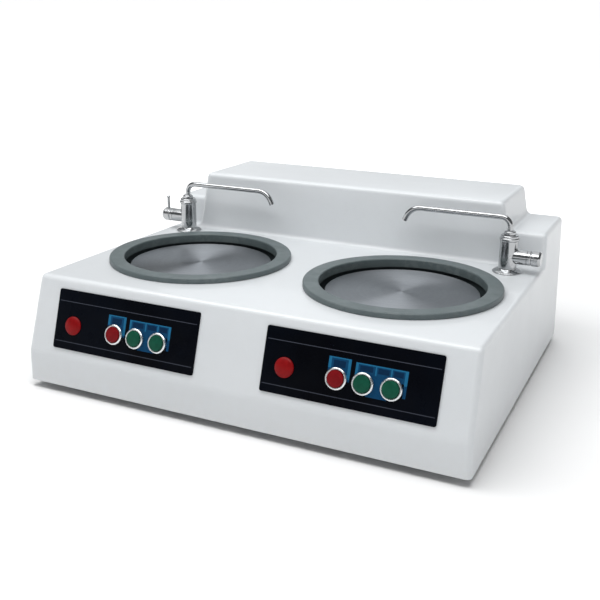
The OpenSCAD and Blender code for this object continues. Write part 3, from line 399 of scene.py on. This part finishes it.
def profile_form(profile, half_width):
    """Carries a side profile of (y, z) points from side to side, with the sides leaning by height."""
    bm = bmesh.new()
    face = bm.faces.new([bm.verts.new((-1, y, z)) for y, z in profile])
    far_side = bmesh.ops.extrude_face_region(bm, geom=[face])["geom"]
    bmesh.ops.translate(bm, vec=(2, 0, 0), verts=[v for v in far_side if isinstance(v, bmesh.types.BMVert)])
    for v in bm.verts:
        v.co.x *= half_width(v.co.z)
    bmesh.ops.recalc_face_normals(bm, faces=bm.faces)
    return bm


low_form = profile_form([(FRONT, FOOT), (FRONT, KNEE), (FRONT + SLOPE, DECK), (SHOULDER_Y, DECK),
                         (SHOULDER_Y, SHOULDER), (rear_face(SHOULDER), SHOULDER), (BACK, FOOT)], half_body)
high_form = profile_form([(HOUSING_Y, DECK - SINK), (HOUSING_Y, TOP), (rear_face(TOP), TOP),
                          (rear_face(SHOULDER), SHOULDER), (rear_face(TOP) - SINK, DECK - SINK)],
                         half_housing)
print("slope leans", round(LEAN, 1), "degrees")

# %% Unite the two forms and round every edge
body = as_object("body", low_form)
combine(body, "UNION", high_form)
bm = bmesh.new()
bm.from_mesh(body.data)
bmesh.ops.remove_doubles(bm, verts=bm.verts, dist=0.01)
bmesh.ops.dissolve_limit(bm, angle_limit=math.radians(1), verts=bm.verts, edges=bm.edges)
knee = [e for e in bm.edges
        if all(abs(v.co.z - KNEE) < 0.1 and abs(v.co.y - FRONT) < 0.1 for v in e.verts)]
bevel(bm, knee, KNEE_ROUNDING, 4)
share = bm.edges.layers.float.new("bevel_weight_edge")
for e in sharp_edges(bm, 20, lambda e: any(v.co.z > FOOT + 0.1 for v in e.verts)):
    run = e.verts[1].co - e.verts[0].co
    upright_hollow = e.calc_face_angle_signed() < 0 and abs(run.z) > abs(run.x) + abs(run.y)
    e[share] = HOLLOW_SHARE if upright_hollow else 1
bm.to_mesh(body.data)
bm.free()
rounding = body.modifiers.new("rounding", "BEVEL")
rounding.limit_method, rounding.width = "WEIGHT", ROUNDING
rounding.segments, rounding.profile = ROUNDING_STEPS, 0.5
bake_modifiers(body)
bm = bmesh.new()
bm.from_mesh(body.data)
bmesh.ops.remove_doubles(bm, verts=bm.verts, dist=0.02)
bmesh.ops.dissolve_degenerate(bm, edges=bm.edges, dist=0.02)
underside = [f for f in bm.faces if f.normal.z < -0.99 and f.calc_center_median().z < FOOT + 1]
bmesh.ops.delete(bm, geom=underside, context="FACES")
bm.to_mesh(body.data)
bm.free()
print("body skin:", len(body.data.polygons), "faces")

# %% [markdown]
# The skin gets its wall next, and then the openings: two wells, two tap holes, eight panel holes and
# three services at the rear. Straight drills cut them, as a workshop would.

# %% Wall and openings
give_wall(body, WALL)


def rod(bm, radius, low, high, place=Matrix(), sides=48):
    """A closed cylinder or prism between two heights of its own axis."""
    middle = place @ Matrix.Translation((0, 0, (low + high) / 2))
    bmesh.ops.create_cone(bm, cap_ends=True, segments=sides, radius1=radius, radius2=radius,
                          depth=high - low, matrix=middle)


def at_disc(side):
    """The axis of a disc."""
    return Matrix.Translation((side * DISC_X, DISC_Y, 0))


def at_tap(side, z=0):
    """The upright axis of a tap."""
    return Matrix.Translation((side * TAP_X, TAP_Y, z))


def on_slope(side, x=0, up=0):
    """The plane of the sloping front: X along it, Y up it, Z outwards."""
    return (Matrix.Translation((side * PANEL_X, FRONT, KNEE))
            @ Matrix.Rotation(math.radians(90 - LEAN), 4, "X") @ Matrix.Translation((x, up, 0)))


def on_rear(x, z):
    """A service's axis, with Z pointing out of the rear."""
    return Matrix.Translation((x, BACK, z)) @ Matrix.Rotation(math.radians(-90), 4, "X")


DISC_X, DISC_Y, TAP_X, TAP_Y, PANEL_X = 174, -72, 295, 81, 177
BUTTON_UP, LAMP_X, LAMP_UP = 49, -91, 50
BUTTONS = {"stop": -15, "low_speed": 22, "high_speed": 61}
PANEL_HOLES = [(x, BUTTON_UP) for x in BUTTONS.values()] + [(LAMP_X, LAMP_UP)]
WELL_R, TAP_HOLE_R, PANEL_HOLE_R = 133.5, 10.5, 11.2
THROUGH, REAR_THROUGH = 20, 30
SERVICES = {"drain": (0, 45, 12.3), "water": (45, 60, 10.7), "cord": (-250, 60, 10.1)}

cuts = bmesh.new()
for _, side in SIDES:
    rod(cuts, WELL_R, DECK - THROUGH, DECK + THROUGH, at_disc(side), sides=128)
    rod(cuts, TAP_HOLE_R, DECK - THROUGH, DECK + THROUGH, at_tap(side))
    for x, up in PANEL_HOLES:
        rod(cuts, PANEL_HOLE_R, -THROUGH, THROUGH, on_slope(side, x, up))
for x, z, radius in SERVICES.values():
    rod(cuts, radius, -REAR_THROUGH, REAR_THROUGH, on_rear(x, z))
combine(body, "DIFFERENCE", cuts)
print("body with its openings:", len(body.data.polygons), "faces")

# %% [markdown]
# The white is a gelcoat: a hard glossy skin with a very slight waviness that shows only in reflections,
# a few dark specks, and a little bench dust towards the foot. A flat white would look like paper, so the
# colour drifts by a few per cent and the gloss is broken by fine haze.

# %% The white gelcoat
def gelcoat():
    """The body's skin, with dust below the height of the knee."""
    material, place = new_finish("white_gelcoat", Coat_Roughness=0.06, Coat_IOR=1.5, Specular_IOR_Level=0.5)
    near_foot = 1 - axes(place)[2] / KNEE
    drift = clouds(place, 5, 0, 1, detail=4)
    dust = near_foot.maths("MAXIMUM", near_foot, 0.0) * clouds(place, 90, 0.0, 0.5, detail=8)
    white = blend(drift, (0.665, 0.69, 0.71, 1), (0.685, 0.71, 0.73, 1))
    specks = clouds(place, 700, 0, 1, detail=2, contrast=4) * clouds(place, 60, 0, 1, detail=2, contrast=3)
    dusty = blend(dust * 0.5, white, (0.62, 0.61, 0.58, 1))
    colour = blend(specks * 0.035, dusty, (0.45, 0.44, 0.42, 1))
    wave = clouds(place, 22, 0, 1, detail=1)
    peel = clouds(place, 420, 0, 1, detail=2)
    return drive(material, Base_Color=colour, Roughness=clouds(place, 14, 0.3, 0.36, detail=5) + dust * 0.3,
                 Coat_Weight=clouds(place, 8, 0.26, 0.34) - dust * 0.2,
                 Normal=bump(peel, 0.00002, 0.25, bump(wave, 0.0003, 0.12)))


finish_piece("body", body, "machine_body", ["body_shell"], gelcoat(), angle=40)

# %% [markdown]
# ## Splash rings
# Each well has a loose ring that lies on the basin's rim: a flat grey top, a short skirt outside, and a
# skirt inside that hangs into the basin and keeps the spray in. It was moulded in a grey-green plastic
# with a satin face, and its inner wall is coloured darker as painted shade. The ring is one spun outline.

# %% The grey plastic of the rings
RING_IN, RING_OUT, RING_LOW, RING_TOP = 124, 148, 169, 182.5


def from_disc_axis(place, side):
    """Distance from the axis of a side's disc, in millimetres."""
    return from_axis(place.node("ShaderNodeMapping", {"vector_type": "POINT"}, {
        "Vector": place, "Location": (-side * DISC_X / 1000, -DISC_Y / 1000, 0)}))


def ring_plastic(name, side):
    """The ring's plastic: one colour on the top, a darker copy on the wall inside as painted shade, and dried
    splashes.
    """
    material, place = new_finish(name, Specular_IOR_Level=0.45)
    radius = from_disc_axis(place, side)
    # The wall inside the well gets a darker copy of the top's colour: painted shade.
    inside = radius.node("ShaderNodeMapRange", {}, {
        "Value": radius + clouds(place, 60, -0.3, 0.3), "From Min": RING_IN + 1.4, "From Max": RING_IN + 0.6})
    top = tint(clouds(place, 30, 0, 1, detail=6), (0.1, 0.127, 0.132), 0.95, 1.06)
    shaded_wall_colour = tint(clouds(place, 45, 0, 1, detail=4), (0.08, 0.104, 0.107), 0.93, 1.07)
    splash = clouds(place, 130, 0, 1, detail=3, contrast=5) * clouds(place, 18, 0, 0.14, contrast=2)
    colour = blend(splash, blend(inside, top, shaded_wall_colour), (0.24, 0.26, 0.26, 1))
    grain = clouds(place, 1500, 0, 1, detail=2)
    return drive(material, Base_Color=colour, Roughness=clouds(place, 40, 0.36, 0.5, detail=4) + splash * 0.3,
                 Normal=bump(grain, 0.00004, 0.4))


print("ring plastic, inside wall from radius", RING_IN, "mm")

# %% The rings
SKIRT, ON_RIM, ON_DECK = 3, 177, 174.6
RING = [(RING_IN, RING_LOW), (RING_IN + SKIRT, RING_LOW), (RING_IN + SKIRT, ON_RIM),
        (RING_OUT - SKIRT, ON_RIM), (RING_OUT - SKIRT, ON_DECK), (RING_OUT, ON_DECK),
        (RING_OUT, RING_TOP), (RING_IN, RING_TOP)]
for name, side in SIDES:
    bm = bmesh.new()
    turn(bm, RING, steps=160, place=at_disc(side))
    soften(bm, 2.4, segments=4, test=lambda e: min(v.co.z for v in e.verts) > RING_TOP - 0.1)
    finish_piece(f"{name}_splash_ring_turned", bm, f"{name}_ring", [f"{name}_splash_ring"],
                 ring_plastic(f"{name}_ring_grey", side))

# %% [markdown]
# ## Grinding discs
# A grinding disc is faced on a lathe, so its face carries thousands of fine rings. They stretch each
# highlight into a bright wedge that points at the middle. The shader's anisotropy does that for
# a disc that is centred in its own box, and thin rings in the roughness and the colour do the rest.

# %% Turned aluminium
def turned_aluminium(name, side):
    """The lathe's rings, fine and broad, with a few stains and scratches."""
    material, place = new_finish(name, Metallic=1.0, Anisotropic=0.82, Anisotropic_Rotation=0.25)
    radius = from_disc_axis(place, side)
    rings, broad = [
        radius.node("ShaderNodeTexNoise", {"noise_dimensions": "1D"},
                    {"W": radius, "Scale": scale, "Detail": detail})
        for scale, detail in ((2.2, 3.0), (0.12, 2.0))]
    stain = clouds(place, 16, 0, 1, detail=5, contrast=2)
    tone = rings * 0.5 + broad * 0.3 + stain * 0.2
    colour = blend(tone, (0.2, 0.215, 0.235, 1), (0.36, 0.38, 0.405, 1))
    scratches = clouds(place, 260, 0, 1, detail=2, contrast=6)
    return drive(material, Base_Color=colour, Roughness=0.3 + rings * 0.14 + stain * 0.05 + scratches * 0.03,
                 Normal=bump(rings, 0.00001, 0.35))


DISC_R, DISC_LOW, DISC_TOP = 115, 159.5, 167.5
print("turned aluminium for discs of radius", DISC_R, "mm")

# %% The discs
DISC = [(0, DISC_LOW), (DISC_R, DISC_LOW), (DISC_R, DISC_TOP), (0, DISC_TOP)]
for name, side in SIDES:
    bm = bmesh.new()
    turn(bm, DISC, steps=160, soft=1, segments=3, place=at_disc(side))
    finish_piece(f"{name}_disc_turned", bm, f"{name}_disc_drive", [f"{name}_grinding_disc"],
                 turned_aluminium(f"{name}_turned_aluminium", side))

# %% [markdown]
# ## Control panels
# A panel is a thin plate with a gloss overlay, printed from behind: black, with one grey line above and
# one below, and blue fields round the buttons. The print is not geometry, so it is drawn by masks in
# the plane of the panel. The strip for a title and the fields for captions stay bare.

# %% The printed overlay
def panel_overlay(name, side):
    """The print of a side's panel, in millimetres across and up the slope."""
    material, place = new_finish(name, Coat_Roughness=0.08, Specular_IOR_Level=0.05)
    flat = place.node("ShaderNodeMapping", {"vector_type": "TEXTURE"}, {
        "Vector": place, "Location": (side * PANEL_X / 1000, FRONT / 1000, KNEE / 1000),
        "Rotation": (math.radians(90 - LEAN), 0, 0)})
    x, y, _ = axes(flat)

    def field(left, right, low, high):
        """A mask over a rectangle of the panel."""
        in_width = abs(x - (left + right) / 2) < (right - left) / 2
        return in_width * (abs(y - (low + high) / 2) < (high - low) / 2)

    def merge(*masks):
        """The area that any of the masks covers."""
        total = masks[0]
        for mask in masks[1:]:
            total = total.maths("MAXIMUM", total, mask)
        return total

    print_grain = clouds(place, 240, 0.85, 1.0, detail=3)
    blue = merge(field(-29, 2.5, 47, 77), field(9, 80, 58, 75), field(27, 56, 33, 75), field(76, 80, 40, 75))
    pale = merge(field(-29, -25, 62, 77), field(-1.5, 2.5, 50, 77), field(-29, 2.5, 75.4, 77),
                 field(9, 12.5, 58, 75), field(9, 80, 73.4, 75), field(36, 38, 62, 75), field(57, 59, 62, 75),
                 field(76, 80, 56, 75))
    caption = merge(field(-22, -5, 64, 73), field(15, 33, 65, 72), field(40, 55, 65, 72),
                    field(61, 74, 65, 72))
    lines = merge(field(-121, 121, 84.8, 85.8), field(-121, 121, 24, 25))
    black = blend(clouds(place, 11, 0, 1, detail=3),
                  (0.0004, 0.0007, 0.002, 1), (0.001, 0.0022, 0.0055, 1))
    colour = blend(blue * print_grain, black, (0.006, 0.055, 0.135, 1))
    colour = blend(pale * print_grain * 0.8, colour, (0.018, 0.16, 0.31, 1))
    colour = blend(caption * 0.8, colour, (0.003, 0.017, 0.05, 1))
    colour = blend(lines * 0.55, colour, (0.09, 0.10, 0.13, 1))
    smears = clouds(place, 35, 0, 1, detail=6, contrast=1.5)
    return drive(material, Base_Color=colour, Roughness=0.26 + smears * 0.1, Coat_Weight=smears * 0.02,
                 Normal=bump(clouds(place, 900, 0, 1) * 0.3 + pale * 0.2, 0.00002, 0.4))


PANEL_W, PANEL_H, PANEL_T, PANEL_UP, LIFT = 248, 90, 2, 58, 0.15
PANEL_FACE = Matrix.Translation((0, 0, LIFT + PANEL_T))
print("print for panels of", PANEL_W, "x", PANEL_H, "mm")

# %% The panels
PANEL_PLACE = (Matrix.Translation((0, PANEL_UP, LIFT + PANEL_T / 2))
               @ Matrix.Diagonal((PANEL_W, PANEL_H, PANEL_T, 1)))
for name, side in SIDES:
    bm = bmesh.new()
    bmesh.ops.create_cube(bm, size=1, matrix=PANEL_PLACE)
    bevel(bm, [e for e in bm.edges if abs(e.verts[0].co.z - e.verts[1].co.z) > 1], 3, 5)
    bevel(bm, [e for e in sharp_edges(bm, 60) if min(v.co.z for v in e.verts) > 2], 0.5, 2)
    panel = as_object("panel", bm)
    holes = bmesh.new()
    for x, up in PANEL_HOLES:
        rod(holes, PANEL_HOLE_R, -5, 8, Matrix.Translation((x, up, 0)))
    combine(panel, "DIFFERENCE", holes)
    panel.data.transform(on_slope(side))
    finish_piece(f"{name}_panel_overlay", panel, "machine_body", [f"{name}_control_panel"],
                 panel_overlay(f"{name}_panel_print", side))

# %% [markdown]
# ## Push buttons and lamps
# A standard panel button of 22 mm: a bright ring on a threaded barrel, a hexagon nut behind the wall,
# and a coloured cap that moves in the ring. The lamp beside them is a red lens without a ring. The cap
# and the lens are translucent plastic, so their colour is deep, and only the gloss on top is bright.

# %% Bright ring, coloured cap and lens
def bright_metal(name, colour, rough=(0.07, 0.16)):
    """Plated metal: a clear reflection, broken by faint haze and dried water spots."""
    material, place = new_finish(name, Metallic=1.0)
    haze = clouds(place, 55, 0, 1, detail=6)
    spots = clouds(place, 420, 0, 1, detail=2, contrast=7) * clouds(place, 70, 0, 1, contrast=2)
    return drive(material, Base_Color=tint(haze, colour, 0.93, 1.03),
                 Roughness=rough[0] + haze * (rough[1] - rough[0]) + spots * 0.16,
                 Normal=bump(clouds(place, 900, 0, 1) * 0.3 + spots * 0.2, 0.00001, 0.2))


def cap_plastic(name, colour, glow=0.0):
    """Deep coloured plastic with rubbed gloss, lit a little from behind where it is a lamp."""
    material, place = new_finish(name, Coat_Roughness=0.15, Specular_IOR_Level=0.15, Emission_Strength=glow)
    rubbed = clouds(place, 130, 0, 1, detail=5)
    shade = tint(rubbed, colour, 0.86, 1.12)
    return drive(material, Base_Color=shade, Emission_Color=shade, Roughness=0.4 + rubbed * 0.16,
                 Coat_Weight=0.02 + rubbed * 0.05, Normal=bump(clouds(place, 1400, 0, 1), 0.00002, 0.3))


chrome = bright_metal("tap_chrome_plate", (0.46, 0.47, 0.48))
bezel_finish = bright_metal("bezel_bright", (0.8, 0.82, 0.83), (0.16, 0.28))
red_cap = cap_plastic("cap_red", (0.18, 0.001, 0.004))
green_cap = cap_plastic("cap_green", (0.002, 0.068, 0.038))
red_lens = cap_plastic("lens_red", (0.19, 0.001, 0.002), glow=0.2)
print("plating and plastics:", [m.name for m in (chrome, bezel_finish, red_cap, green_cap, red_lens)])

# %% The buttons in their rings
BEZEL = [(11.8, 0), (11.8, 4.4), (12.4, 5), (13.8, 5), (15, 3.8), (15, 0), (11, 0), (11, -25), (8.5, -25),
         (8.5, 0)]
NUT_R, NUT_LOW, NUT_TOP = 15, -11.3, -7.3
CAP = [(0, 3.5), (0, -13.5), (8.1, -13.5), (8.1, 3.5), (11.4, 3.5), (11.4, 6.5), (9.5, 6.9), (0, 7)]

for name, side in SIDES:
    bm = bmesh.new()
    for cap, x in BUTTONS.items():
        place = on_slope(side, x, BUTTON_UP) @ PANEL_FACE
        turn(bm, BEZEL, steps=64, soft=0.35, place=place)
        rod(bm, NUT_R, NUT_LOW, NUT_TOP, place, sides=6)
        cap_bm = bmesh.new()
        turn(cap_bm, CAP, steps=64, soft=0.4, place=place)
        slot, plastic = ("button_red", red_cap) if cap == "stop" else ("button_green", green_cap)
        finish_piece(f"{name}_{cap}_cap_lens", cap_bm, f"{name}_{cap}_cap", [f"{name}_{cap}_button"],
                     plastic)
    finish_piece(f"{name}_bezel_rings", bm, "machine_body", [f"{name}_button_bezels"],
                 bezel_finish)

# %% The lamp's lens
LENS_R, DOME = 14, 4
LENS = [(0, -25), (11, -25), (11, 0), (LENS_R, 0), (LENS_R, 1.2)]
LENS += [(LENS_R * math.cos(math.radians(a)), 1 + DOME * math.sin(math.radians(a)))
         for a in range(15, 90, 15)]
LENS += [(0, 1 + DOME)]
for name, side in SIDES:
    bm = bmesh.new()
    turn(bm, LENS, steps=64, place=on_slope(side, LAMP_X, LAMP_UP) @ PANEL_FACE)
    finish_piece(f"{name}_lamp_lens", bm, "machine_body", [f"{name}_pilot_lamp"], red_lens)

# %% [markdown]
# ## Taps
# Each well has its own cold tap of plated brass: a turned body on a foot flange, a short branch to the
# side with the valve's hub and lever, and a thin spout that swivels on top. The round parts are spun.
# The spout is a ring of points that is extruded along the straights and spun round each bend, as a
# pipe bender would do, and then given a wall.

# %% Tap bodies
TAP_BODY = [(0, 129), (10, 129), (10, 174), (23, 174), (23, 175.6), (19.5, 178), (15.2, 179), (14, 181),
            (14, 225), (15.5, 226), (15.5, 229), (14, 230), (14, 232.8), (12.8, 234), (6.05, 234),
            (6.05, 215.7), (4, 215.7), (4, 200), (0, 200)]
BRANCH = [(0, 0), (11.5, 0), (11.5, 30), (5.05, 30), (5.05, 15.7), (0, 15.7)]
VALVE_Z, TAP_TOP = 200, 234


def outwards(side):
    """The valve's axis, with Z pointing away from the middle of the machine."""
    return at_tap(side, VALVE_Z) @ Matrix.Rotation(math.radians(side * 90), 4, "Y")


for name, side in SIDES:
    bm = bmesh.new()
    turn(bm, TAP_BODY, steps=72, soft=0.5, place=at_tap(side))
    turn(bm, BRANCH, steps=48, soft=0.5, place=outwards(side))
    finish_piece(f"{name}_tap_barrel", bm, "machine_body", [f"{name}_tap_body"], chrome)

# %% Valve hubs and levers
HUB = [(0, 16), (5, 16), (5, 30.3), (11.5, 30.3), (11.5, 35), (10.6, 35.6), (10.6, 37), (11.9, 37.6),
       (11.9, 48), (9.8, 51.3), (0, 51.3)]
LEVER = [(0, 8), (2.3, 8), (2.3, 30.5), (3.2, 31.5), (3.3, 33), (2.2, 34.6), (0, 35)]
LEVER_OUT = 43
POINTS_UP, POINTS_FORWARD = Matrix(), Matrix.Rotation(math.radians(-90), 4, "X")
for name, side in SIDES:
    pointing = POINTS_UP if side < 0 else POINTS_FORWARD
    lever_place = at_tap(side, VALVE_Z) @ Matrix.Translation((side * LEVER_OUT, 0, 0)) @ pointing
    bm = bmesh.new()
    turn(bm, HUB, steps=48, soft=0.6, segments=3, place=outwards(side))
    turn(bm, LEVER, steps=24, soft=0.4, place=lever_place)
    finish_piece(f"{name}_tap_hub", bm, f"{name}_tap_lever", [f"{name}_tap_handle"], chrome)

# %% Spouts
TUBE_R, TUBE_WALL, IN_TAP = 4.4, 1, 18
RISER, ELBOW, REACH, TIP_ELBOW, TIP_ANGLE, TIP_RUN = 11, 16, 146, 26, 65, 8


def bent_tube():
    """A tube that rises, turns level, runs out and dips at its tip, in the XZ plane above the tap."""
    tube = bmesh.new()
    bmesh.ops.create_circle(tube, cap_ends=False, segments=24, radius=TUBE_R,
                            matrix=Matrix.Translation((0, 0, -IN_TAP)))
    ring = list(tube.edges)

    def run(vec):
        """Carries the open end straight on."""
        nonlocal ring
        made = bmesh.ops.extrude_edge_only(tube, edges=ring)["geom"]
        ring = [g for g in made if isinstance(g, bmesh.types.BMEdge)]
        bmesh.ops.translate(tube, vec=vec, verts=list({v for e in ring for v in e.verts}))

    def bend(centre, angle):
        """Carries the open end round a centre, downwards."""
        nonlocal ring
        made = bmesh.ops.spin(tube, geom=ring, cent=centre, axis=(0, 1, 0), angle=math.radians(angle),
                              steps=10)
        ring = [g for g in made["geom_last"] if isinstance(g, bmesh.types.BMEdge)]

    run((0, 0, IN_TAP + RISER))
    bend((ELBOW, 0, RISER), 90)
    run((REACH - ELBOW, 0, 0))
    bend((REACH, 0, RISER + ELBOW - TIP_ELBOW), TIP_ANGLE)
    dip = math.radians(TIP_ANGLE)
    run((TIP_RUN * math.cos(dip), 0, -TIP_RUN * math.sin(dip)))
    bmesh.ops.remove_doubles(tube, verts=tube.verts, dist=0.001)
    bmesh.ops.recalc_face_normals(tube, faces=tube.faces)
    piece = as_object("tube", tube)
    give_wall(piece, TUBE_WALL)
    return piece


COLLAR = [(4.45, -IN_TAP), (6, -IN_TAP), (6, 0.3), (9, 0.3), (9, 4.8), (7.2, 6.3), (4.45, 6.3)]
for name, side in SIDES:
    at_top = at_tap(side, TAP_TOP) @ Matrix.Rotation(0 if side < 0 else math.pi, 4, "Z")
    tube = bent_tube()
    bm = bmesh.new()
    bm.from_mesh(tube.data)
    bpy.data.objects.remove(tube)
    bmesh.ops.transform(bm, matrix=at_top, verts=bm.verts)
    turn(bm, COLLAR, steps=48, soft=0.4, place=at_top)
    finish_piece(f"{name}_spout_tube", bm, f"{name}_swivel_spout", [f"{name}_spout"], chrome)

# %% [markdown]
# ## The pieces that keep their solid
# Everything under the cover, and the plain fittings outside, already has its right shape in the solid.
# These pieces only get a finish. Four recipes cover them: sheet or machined steel with streaks along
# one axis, cast and painted metal, moulded plastic, and rubber. Each takes its own colour and scale.

# %% Recipes for steel, paint, plastic and rubber
def machined(name, colour, rough, streak=(1, 1, 12), spotty=0.4):
    """Bare metal with fine streaks along one axis and a few darker spots."""
    material, place = new_finish(name, Metallic=1.0)
    drawn = place.node("ShaderNodeMapping", {"vector_type": "POINT"}, {"Vector": place, "Scale": streak})
    streaks = clouds(drawn, 220, 0, 1, detail=3)
    stain = clouds(place, 24, 0, 1, detail=6, contrast=1.6)
    spot = tuple(c * 0.55 for c in colour) + (1,)
    shade = blend(stain * spotty, tint(streaks, colour, 0.88, 1.06), spot)
    return drive(material, Base_Color=shade, Roughness=rough + streaks * 0.1 + stain * 0.12,
                 Normal=bump(streaks, 0.00003, 0.35))


def painted(name, colour, rough, texture=350):
    """Paint over a casting, with a soft orange peel and scattered spots of dust."""
    material, place = new_finish(name, Specular_IOR_Level=0.45)
    patches = clouds(place, 18, 0, 1, detail=6)
    chips = clouds(place, 170, 0, 1, detail=3, contrast=8) * clouds(place, 25, 0, 1, contrast=4)
    shade = blend(chips * 0.4, tint(patches, colour, 0.88, 1.1), (0.3, 0.29, 0.28, 1))
    return drive(material, Base_Color=shade, Roughness=rough + patches * 0.12,
                 Normal=bump(clouds(place, texture, 0, 1), 0.00006, 0.4))


def moulded(name, colour, rough, texture=1200):
    """Injection-moulded plastic: a fine grain, a little bloom and rubbed places."""
    material, place = new_finish(name, Specular_IOR_Level=0.5)
    bloom = clouds(place, 35, 0, 1, detail=6)
    return drive(material, Base_Color=tint(bloom, colour, 0.9, 1.1), Roughness=rough + bloom * 0.14,
                 Normal=bump(clouds(place, texture, 0, 1), 0.00003, 0.4))


def rubber(name, colour):
    """Dull rubber with talc in its pores."""
    material, place = new_finish(name, Specular_IOR_Level=0.25)
    talc = clouds(place, 60, 0, 1, detail=8, contrast=1.5)
    return drive(material, Base_Color=blend(talc * 0.25, colour + (1,), (0.12, 0.12, 0.115, 1)),
                 Roughness=0.72 + talc * 0.18, Normal=bump(clouds(place, 700, 0, 1), 0.0001, 0.5))


print("four recipes ready")

# %% Give each remaining solid its finish
def wear(material, *names):
    """Dresses solids that keep their shape."""
    for name in names:
        solid = nodes[name]
        solid.data.materials.clear()
        solid.data.materials.append(material)


def both(*names):
    """The names of the left and the right pieces."""
    return [f"{name}_{part}" for part in names for name, _ in SIDES]


wear(machined("zinc_plate", (0.55, 0.56, 0.57), 0.34, (1, 14, 14)), "base_plate")
wear(machined("bridge_steel", (0.5, 0.51, 0.52), 0.38, (14, 1, 14)), *both("drive_bridge"))
wear(machined("gear_plate_steel", (0.58, 0.58, 0.57), 0.36, (14, 1, 1)), "contactor_plate")
wear(machined("screw_zinc", (0.6, 0.6, 0.58), 0.28), "base_screws", "bridge_bolts")
wear(machined("bearing_steel", (0.62, 0.62, 0.63), 0.18, (1, 1, 20)), "spindle_bearings")
wear(machined("shaft_steel", (0.6, 0.6, 0.61), 0.2, (1, 1, 20)), *both("spindle", "motor_rotor"))
wear(machined("carrier_aluminium", (0.56, 0.57, 0.58), 0.34, (1, 1, 16)), *both("disc_carrier"))
wear(machined("pulley_iron", (0.3, 0.31, 0.32), 0.42, (1, 1, 16), 0.64),
     *both("spindle_pulley", "motor_pulley"))
wear(machined("fitting_brass", (0.66, 0.5, 0.22), 0.26, (1, 12, 1)), "water_inlet", "tap_locknuts")
wear(painted("bearing_housing_grey", (0.10, 0.115, 0.125), 0.46, 260), *both("bearing_housing"))
wear(painted("motor_blue_grey", (0.07, 0.125, 0.18), 0.4, 300), *both("motor_case"))
wear(moulded("basin_dark", (0.045, 0.06, 0.064), 0.4, 900), *both("basin"))
wear(moulded("switch_black", (0.022, 0.024, 0.027), 0.46), *both("switch_blocks"))
wear(moulded("contactor_charcoal", (0.04, 0.045, 0.05), 0.5), "contactors")
wear(moulded("pipe_grey", (0.6, 0.6, 0.57), 0.36, 500), "drain_pipes")
wear(moulded("hose_clear_white", (0.68, 0.68, 0.62), 0.3, 400), "water_hoses")
wear(moulded("gland_black", (0.02, 0.02, 0.021), 0.44), "cable_gland")
wear(rubber("foot_rubber", (0.018, 0.018, 0.019)), "rubber_feet")
wear(rubber("belt_rubber", (0.014, 0.014, 0.015)), *both("drive_belt"))
print("finished solids:", sum(1 for n in nodes.values() if not n.hide_render))

# %% [markdown]
# ## The floor's finish
# The floor is a pale matt sheet with the faintest mottling, and it glows a little from half a metre out.

# %% Floor finish
floor_material, floor_place = new_finish("pale_floor", Specular_IOR_Level=0.0, Emission_Strength=0.5)
distance = from_axis(floor_place)
glow = distance.node("ShaderNodeMapRange", {}, {"Value": distance, "From Min": 420.0, "From Max": 1500.0})
floor.data.materials.append(drive(
    floor_material, Base_Color=tint(clouds(floor_place, 3, 0, 1), (0.95, 0.95, 0.95), 0.99, 1.0),
    Emission_Color=blend(glow, (0, 0, 0, 1), (1, 1, 1, 1)), Roughness=clouds(floor_place, 12, 0.5, 0.62)))
